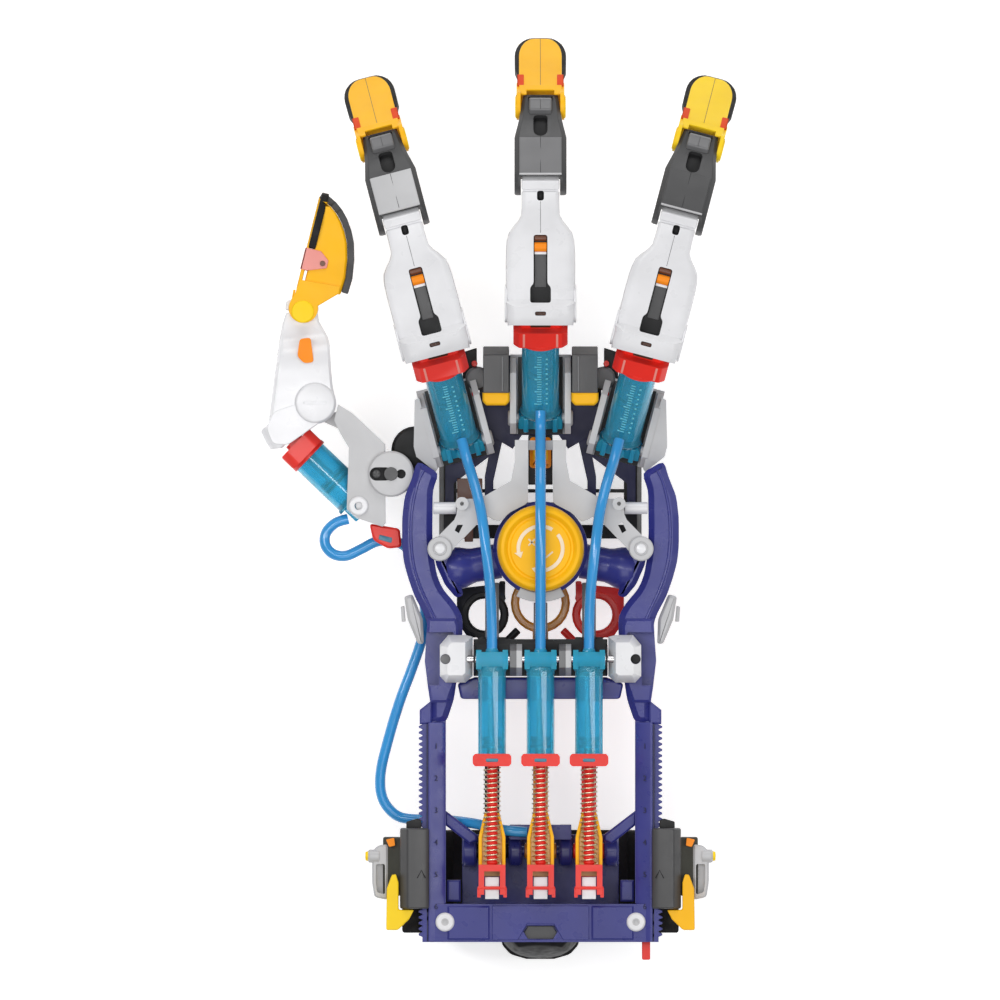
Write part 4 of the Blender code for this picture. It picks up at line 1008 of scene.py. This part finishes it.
def hub():
    """The round hub under the dial, its two flared tubes, a grey skirt behind and the wishbone on top."""
    cup = [(0, 64), (18.5, 64), (20.5, 66), (20.5, 86.6), (19.2, 88), (16, 88), (16, 92), (4.3, 92),
           (4.3, 82), (0, 82)]
    obj = piece("hub_cup", "navy", [turned(cup, (*DIAL, 0), steps=64)], bevel=0.3)
    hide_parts("wrist_hub")
    tube = [(0, 8), (7.6, 8), (7.4, 19), (7.8, 21), (8.9, 24), (9.2, 26), (9.2, 29), (8, 31), (0, 31)]
    for side, sign in SIDES:
        start = (sign * 12, -25.5, 79)
        along = (sign * 26, -4.7, 0)
        piece(f"{side}_hub_tube", "navy", [turned([(r, d - 2) for r, d in tube], start, along)], bevel=0.25)
        collar = softened([(38.6, -21.8), (35.8, -32), (33.4, -41.6), (36.6, -42.6), (41.4, -37),
                           (45.4, -28), (46, -21.8)], 1.4)
        collar = crowned(sided(collar, sign), 72.5, 86.4, 2.2, 2.6)
        piece(f"{side}_hub_collar", "navy", [collar], bevel=0.6, segments=3)
    for name, start, stop in (("left", 243, 266), ("right", 274, 297)):
        skirt = arc(DIAL, 23.2, start, stop, 8) + arc(DIAL, 19, stop, start, 8)
        piece(f"hub_skirt_{name}", "light_grey", [slab(skirt, 80, 88.6)], bevel=0.3)
    keep_node("hub_bracket", "light_grey", 0.6)
    for side, sign in SIDES:
        centre = (sign * ARM_END[0], *ARM_END[1:])
        washer = [(0, 0), (5.4, 0), (5.4, 1.2), (4.9, 1.8), (3.1, 1.8), (2.8, 1.2), (0, 1.2)]
        piece(f"{side}_arm_washer", "light_grey", [turned(washer, centre)], bevel=0.15)
        rivet = turned([(0, 0), (2.3, 0), (2.1, 0.9), (0, 1)], (centre[0], centre[1], 93.1))
        piece(f"{side}_arm_rivet", "white", [rivet], bevel=0.1)
        link = bar((sign * 36.5, -3.7, 84.2), (sign * 46.4, -3.7, 84.2), 2.6)
        piece(f"{side}_arm_link", "white", [link], bevel=0.3)
    latch = softened([(-4.6, 13.6), (4.6, 13.6), (4.6, 27), (-4.6, 27)], 1.6)
    piece("centre_latch", "orange", [crowned(latch, 68, 77.6, 1.6, 2.4)], bevel=0.4)
    grip = softened([(-3.2, 17), (3.2, 17), (3.2, 23), (-3.2, 23)], 0.8)
    piece("centre_latch_grip", "amber", [crowned(grip, 77, 79.4, 0.8, 0.8)], bevel=0.3)
    piece("centre_latch_well", "black", [block((-5.3, 5.3), (6.4, 28), (60, 67.5))], bevel=0.4)


def dial():
    """The yellow dial: rounded rim, shallow groove, flat face with two arrows, a plus and a minus."""
    profile = [(0, 92.3), (17.2, 92.3), (18.85, 94), (18.85, 97.8), (18.2, 99.9), (17.1, 101),
               (15.9, 101.2), (14.8, 100.4), (14.2, 99.6), (13.4, 99.6), (12.8, 100.3), (0, 100.6)]
    obj = piece("dial_body", "amber", [turned(profile, (*DIAL, 0), steps=80)], "dial", bevel=0.2)
    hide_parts("dial_knob")
    marks = []
    for start, stop in ((58, 190), (39, -98)):
        ring = arc(DIAL, 10.4, start, stop, 18) + arc(DIAL, 8.8, stop, start, 18)
        marks.append(slab(ring, 100.4, 100.72))
        head = radians(stop)
        ahead = radians(stop + (16 if stop > start else -16))
        centre = Vector(DIAL)
        points = [centre + Vector((cos(head), sin(head))) * r for r in (11.5, 7.7)]
        points.append(centre + Vector((cos(ahead), sin(ahead))) * 9.4)
        marks.append(slab([tuple(p) for p in points], 100.4, 100.72))
    diagonal = [(-2, -0.35), (2, -0.35), (2, 0.35), (-2, 0.35)]
    for (x, y), turns in (((-3.8, 2.7), (45, -45)), ((3.8, -2.7), (40,))):
        for turn in turns:
            c, s = cos(radians(turn)), sin(radians(turn))
            stroke = [(DIAL[0] + x + a * c - b * s, DIAL[1] + y + a * s + b * c) for a, b in diagonal]
            marks.append(slab(stroke, 100.4, 100.72))
    piece("dial_marks", "cream", marks, "dial", bevel=0)


def palm_strap():
    """The strap round the palm: two bands joined at the sides, open between them."""
    outer = both_sides([(30, 0), (40, 4), (44, 12), (44, 46), (42, 50), (30, 50)])
    inner = both_sides([(29, 4), (37, 7.5), (40, 13), (40, 43), (38, 46), (26, 46), (26, 60)])
    openings = [block((-36.4, 36.4), (low, high), (-1, 60)) for low, high in ((-11, 3), (4.6, 18))]
    obj = piece("palm_strap", "black", [slab(outer, -17, 17, "y")], bevel=0.6,
                cuts=[slab(inner, -20, 20, "y"), *openings])
    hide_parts("palm_cradle")


def knuckles():
    keep_node("knuckle_plate", "navy_dark", 0.3)
    palm_strap()
    for side, sign in SIDES:
        keep_node(f"{side}_knuckle_box", "dark_grey", 0.5)
        cap = [(13.3, 46.6), (13.3, 42.6), (15, 40.8), (23.5, 40.8), (25.2, 42.6), (25.2, 46.6)]
        piece(f"{side}_knuckle_cap", "amber", [crowned(sided(cap, sign), 57, 76.4, 0.8, 1)], bevel=0.5)
        # seam is the x range of a thin mid grey strip along the top of the dark grey box, near its inner
        # edge: a painted highlight.
        seam = sorted((sign * 16.2, sign * 16.8))
        piece(f"{side}_knuckle_highlight_strip", "mid_grey", [block(seam, (47, 62), (75.6, 76.5))], bevel=0.15)
        disc = [(0, 0), (5.2, 0), (5.2, 2), (4.4, 2.8), (0, 2.8)]
        piece(f"{side}_knuckle_disc", "mid_grey", [turned(disc, (sign * 27.4, 52.6, 58))], bevel=0.2)
        pegs = [bar((sign * 28.6, y, 57), (sign * 28.6, y, 61.4), 1.3) for y in (59, 46)]
        piece(f"{side}_knuckle_pegs", "red", pegs, bevel=0.3)
        side_block = [(27.6, 42), (33.8, 40), (33.8, 64), (27.6, 66)]
        piece(f"{side}_side_block", "black", [slab(sided(side_block, sign), 51, 56.8)], bevel=0.5)
    # Brown here is an orange part painted as it looks in shadow, deep under the frame beside the thumb.
    piece("left_box_in_painted_shade", "brown", [block((-36.2, -25.2), (-0.4, 9.2), (55.6, 58.6))], bevel=0.4)
    piece("left_tab_in_painted_shade", "brown", [block((-33, -29.2), (-18.4, -4.4), (52.4, 55))], bevel=0.4)


# ---------------------------------------------------------------- cylinders, levers and cuff


def master(name):
    place = pose((LANES[name], AXLE_Y, AXLE_Z))
    part = partial(piece, body=f"{name}_master", place=place)
    rod_body = f"{name}_piston"
    tube = [(4.8, -42), (4.8, -7.5), (0, -7.5), (0, -3.2), (6.4, -3.2), (6.4, -5), (6.05, -5.6), (6.05, -42)]
    tube.append(tube[0])
    obj = part(f"{name}_master_tube", "barrel", [turned(tube, along=(0, 1, 0))], bevel=0)
    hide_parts(f"{name}_master_barrel")
    head = softened(both_sides([(7, -3.4), (7, 3.1)]), 0.8)
    bosses = [block(sorted((sign * 4.6, sign * 6.9)), (-4.4, 4), (-2.4, 5.4)) for sign in (-1, 1)]
    part(f"{name}_master_head", "foot", [slab(head, -4.6, 4.6), *bosses], bevel=0.4,
         cuts=[bar((-9, 0, 0), (9, 0, 0), HEAD_HOLE)])
    nozzle = [(0, -1), (3.1, -1), (2.9, 3.6), (2.4, 4.6), (0, 4.6)]
    part(f"{name}_master_port", "foot", [turned(nozzle, (0, 0, 0), (0, 1, 0))], bevel=0.2,
         cuts=[bar((-9, 0, 0), (9, 0, 0), HEAD_HOLE)])
    collar = softened(both_sides([(7.4, -46.4), (8.4, -45.2), (8.4, -42.2), (7.4, -41)]), 0.4)
    window = softened(both_sides([(2.7, -44.5), (2.7, -43)]), 0.7)
    part(f"{name}_master_collar", "red", [slab(collar, -7.4, 7.4)], bevel=0.6, segments=3,
         cuts=[slab(window, 6.2, 9), bar((0, -40, 0), (0, -43.5, 0), 6.15),
               bar((0, -40, 0), (0, -50, 0), 2.9)])
    part(f"{name}_collar_window", "teal", [slab(window, 5.9, 6.8)], bevel=0)
    cup = [(0, 0), (4.6, 0), (4.6, 1.3), (3.6, 1.6), (3.6, 3.2), (4.6, 3.5), (4.6, 5), (0, 5)]
    plunger = turned(cup, (0, -38.5, 0), (0, 1, 0))
    piece(f"{name}_master_piston", "teal", [plunger], rod_body, place, bevel=0.15)
    ribbed_rod(name, place, rod_body)
    clevis(name, place, rod_body)
    spring(name, place, rod_body)


def ribbed_rod(name, place, body):
    """The red piston rod, with a low rib every two millimetres."""
    profile = [(0, -92)]
    y = -91
    while y < -48:
        profile += [(2.0, y), (2.45, y + 0.5), (2.45, y + 1.1), (2.0, y + 1.6)]
        y += 2.1
    profile += [(2.3, -46), (2.3, -36), (0, -36)]
    rod = turned(profile, along=(0, 1, 0), steps=24)
    obj = piece(f"{name}_ribbed_rod", "red", [rod], body, place, bevel=0)
    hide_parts(f"{name}_piston_rod", f"{name}_spring")


def clevis(name, place, body):
    """The yellow spring seat that flares back to the red clevis, with its cross pin."""
    part = partial(piece, body=body, place=place)
    outer = [(5.8, -94), (5.8, -77), (3.3, -66.6)]
    inner = [(4.3, -94), (4.3, -77.4), (2.5, -68.6)]
    seat = outer + mirrored(outer)
    bed = inner + mirrored(inner)
    part(f"{name}_spring_seat", "amber", [slab(seat, -6.2, -1.8)], bevel=0.3,
         cuts=[slab(bed, -4.6, 0)])
    part(f"{name}_seat_liner", "pale_yellow", [slab(bed, -4.9, -4.3)], bevel=0)
    arms = softened(both_sides([(5.8, -102), (5.8, -89)]), 0.5)
    mouth = [(-3.4, -104), (3.4, -104), (3.4, CLEVIS_Y + 7.2), (-3.4, CLEVIS_Y + 7.2)]
    jaws = [slab(softened([(x, -103.2), (x + 1.5, -103.2), (x + 1.5, -99), (x, -99)], 0.3), -4, 4.6)
            for x in (-6.4, 4.9)]
    part(f"{name}_clevis", "red", [slab(arms, -5, 5), *jaws], bevel=0.35,
         cuts=[slab(mouth, -9, 9), bar((-9, CLEVIS_Y, 0), (9, CLEVIS_Y, 0), PIN_HOLE)])
    pin = bar((-6.2, CLEVIS_Y, 4.4), (6.2, CLEVIS_Y, 4.4), 0.75, sides=16)
    part(f"{name}_clevis_bar", "red", [pin], bevel=0.2)


def spring(name, place, body):
    """The return spring, a coil of wire riding on the piston."""
    turns, radius, front, rear, steps = 20, 3.6, -47, -88.4, 14
    count = turns * steps
    coil = []
    for i in range(count + 1):
        turn = 2 * pi * i / steps
        coil.append((radius * cos(turn), front + (rear - front) * i / count, radius * sin(turn)))
    obj = wire(f"{name}_return_spring", "spring", body, coil, 0.3, place)
    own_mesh(obj)


def lever(name, look):
    keep_node(f"{name}_lever", look, 0.5)
    part = partial(piece, body=f"{name}_lever")
    y, z = LEVER_PIVOT
    head = softened([(-163.4, 96), (-163.4, 100.6), (-167.4, 101.1), (-169, 101.1), (-173, 100.6),
                     (-173, 96)], 0.4)
    x = LANES[name]
    part(f"{name}_crank_head", "white", [slab(head, x - 2.95, x + 2.95, "x")], bevel=0.35,
         cuts=[bar((x - 5, -168.2, 98), (x + 5, -168.2, 98), 1.6)])
    caps = [turned([(0, 0), (3.4, 0), (3.4, 0.6), (2.6, 1), (0, 1)], (x + sign * 6, y, z), (sign, 0, 0))
            for sign in (-1, 1)]
    part(f"{name}_lever_caps", look, caps, bevel=0.1)


def levers():
    for name, look in (("index", "black"), ("middle", "ochre"), ("ring", "red")):
        master(name)
        lever(name, look)
    for name, look, sign in (("index", "black", -1), ("ring", "red", 1)):
        part = partial(piece, body=f"{name}_lever")
        pegs = [bar((sign * 14.4, -61.4, 51), (sign * 9.6, -56.6, 51), 1.7),
                bar((sign * 21, -66, 51), (sign * 14.4, -61.4, 51), 1.5)]
        part(f"{name}_lever_peg", look, pegs, bevel=0.6)
        wide = [(36.3, -38.6), (16.2, -36.5), (15, -43.2), (17.6, -46)]
        wide += arc((24.3, -50), 6.9, 150, -208, 24)
        wide += [(17.6, -47), (16.6, -54), (22, -59.6), (31.4, -60.1), (36.3, -53)]
        part(f"{name}_lever_body", look, [slab(sided(wide, sign), 48.2, 51.8)], bevel=0)
        tab = [(sign * x, y) for x, y in ((15.2, -35.4), (17.8, -35.4), (19.4, -44.8), (15.4, -44.8))]
        tab = softened(tab, 0.8)
        part(f"{name}_lever_tab", look, [slab(tab, 48.4, 51.6)], bevel=0.4)


def cuff():
    """The forearm cuff with a rounded heel behind the beam, and the two sliders on their rails."""
    keep_node("arm_cuff", "rubber", 1.0)
    heel = [both_sides([(16.8, -188), (16.2, -193.4), (12.4, -197.4), (6, reach)])
            for reach in (-200.2, -200.0, -198.6, -195.6)]
    levels = []
    for outline, z, shrink in zip(heel, (2.6, 22, 38, 47), (1, 0.97, 0.9, 0.74)):
        levels.append([(x * shrink, y if y > -190 else -188 + (y + 188) * shrink, z) for x, y in outline])
    obj = piece("cuff_heel", "rubber", [loft(levels)], "cuff", bevel=1.2, segments=3)
    step = obj.modifiers.new("rounded", "SUBSURF")
    step.levels = 1
    step.render_levels = 1
    for side, sign in SIDES:
        slider(side, sign)
        keep_node(f"{side}_latch", "lemon" if sign < 0 else "amber", 0.6)


def slider(side, sign):
    """The block that wraps the rail, its stepped housing, and the strap buckle with its knob."""
    part = partial(piece, body="cuff")
    wrap = [(60.9, 72), (60.9, 89.6), (57.6, 93.5), (51.4, 93.5), (48.3, 91.6), (48.3, FRAME_HIGH + 0.7)]
    wrap += [(53.2, FRAME_HIGH + 0.7), (53.2, FRAME_LOW - 0.3), (47, FRAME_LOW - 0.3), (47, 72)]
    folded = slab(sided(wrap, sign), -177.3, -142.4, "y")
    obj = part(f"{side}_slider_wrap", "dark_grey", [folded], bevel=1.1, segments=3)
    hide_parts(f"{side}_slider")
    housing = [(60.5, 73), (68.3, 75), (68.3, 81), (60.5, 85.4)]
    stepped = slab(sided(housing, sign), -171.8, -146.3, "y")
    part(f"{side}_slider_housing", "olive", [stepped], bevel=0.8)
    outer = softened([(66.2, -173.6), (72, -172.4), (73, -166), (73, -152.6), (70.6, -150),
                      (66.2, -149.4)], 1.4)
    inner = softened([(67.4, -171.2), (70.8, -170.4), (71.4, -165.6), (71.4, -158), (67.4, -158)], 1)
    part(f"{side}_buckle", "light_grey", [crowned(sided(outer, sign), 76, 83, 0.8, 0.8)], bevel=0.3,
         cuts=[slab(sided(inner, sign), 79, 88)])
    knob = [(0, 0), (2.9, 0), (2.9, 4.2), (2.2, 4.8), (0, 4.8)]
    stub = [(0, 0), (2.2, 0), (1.9, 1.2), (0, 1.3)]
    ends = (("knob", "light_grey", knob, 70, 0.2), ("tip", "lemon", stub, 74.7, 0.15))
    for end, look, profile, x, bevel in ends:
        shape = turned(profile, (sign * x, -154.6, 81.4), (sign, 0, 0))
        part(f"{side}_buckle_{end}", look, [shape], bevel=bevel)
    bit = softened([(63.4, -146.6), (67, -147.4), (65.6, -150.6), (63, -150)], 0.5)
    part(f"{side}_slider_spring_tab", "orange", [slab(sided(bit, sign), 84, 86.4)], bevel=0.3)
    hook = [(51.6, -142.6), (58.2, -142.6), (58.2, -139.6), (53.4, -138.2), (51.6, -139)]
    part(f"{side}_slider_hook", "black", [slab(sided(hook, sign), 84.4, 88.6)], bevel=0.4)
    arrow = [(49.8, -164), (51.6, -160.6), (53.4, -164)]
    wire(f"{side}_slider_arrow", "rubber", "cuff", [(sign * x, y, 93.5) for x, y in arrow], 0.2)


# ---------------------------------------------------------------- stage


def stage():
    """A plain pale floor, soft studio light and a camera looking straight down."""
    bm = bmesh.new()
    bmesh.ops.create_grid(bm, x_segments=1, y_segments=1, size=3)
    mesh = bpy.data.meshes.new("floor")
    bm.to_mesh(mesh)
    bm.free()
    mesh.materials.append(floor_paint())
    floor = bpy.data.objects.new("floor", mesh)
    bpy.context.scene.collection.objects.link(floor)
    floor.location.z = -0.001
    softbox("key_light", (-0.5, 0.15, 1.3), (0.2, 1.1), 6)
    softbox("fill_light", (0.6, -0.1, 1.25), (0.2, 1.1), 3.5)
    softbox("top_light", (0.1, -0.75, 1.6), (1.0, 1.0), 6)
    softbox("front_light", (0, 1.3, 0.8), (1.0, 0.6), 6)
    world = bpy.data.worlds.new("studio")
    bpy.context.scene.world = world
    world.use_nodes = True
    world.node_tree.nodes["Background"].inputs["Color"].default_value = (1, 1, 1, 1)
    world.node_tree.nodes["Background"].inputs["Strength"].default_value = 0.28
    camera = bpy.data.cameras.new("camera")
    camera.sensor_width = SENSOR
    camera.lens = LENS
    camera.clip_end = 50
    viewer = bpy.data.objects.new("camera", camera)
    bpy.context.scene.collection.objects.link(viewer)
    height = VIEW_WIDTH * LENS / SENSOR + FRAME_HIGH
    viewer.location = Vector((*VIEW_CENTRE, height)) * MM
    bpy.context.scene.camera = viewer
    bpy.context.scene.view_settings.view_transform = "Standard"


def softbox(name, place, size, power):
    light = bpy.data.lights.new(name, "AREA")
    light.shape = "RECTANGLE"
    light.size, light.size_y = size
    light.energy = power
    obj = bpy.data.objects.new(name, light)
    bpy.context.scene.collection.objects.link(obj)
    obj.location = place
    obj.rotation_euler = (Vector((0, 0, 0.08)) - Vector(place)).to_track_quat("-Z", "Y").to_euler()


stage()
for hose_name, hose_points in HOSES.items():
    hose(hose_name, hose_points)
for finger_name in FINGERS:
    finger(finger_name)
thumb()
side_frame("left", -1)
side_frame("right", 1)
base_beam()
corner_block("left", -1)
corner_block("right", 1)
crossbars()
hub()
dial()
knuckles()
levers()
cuff()
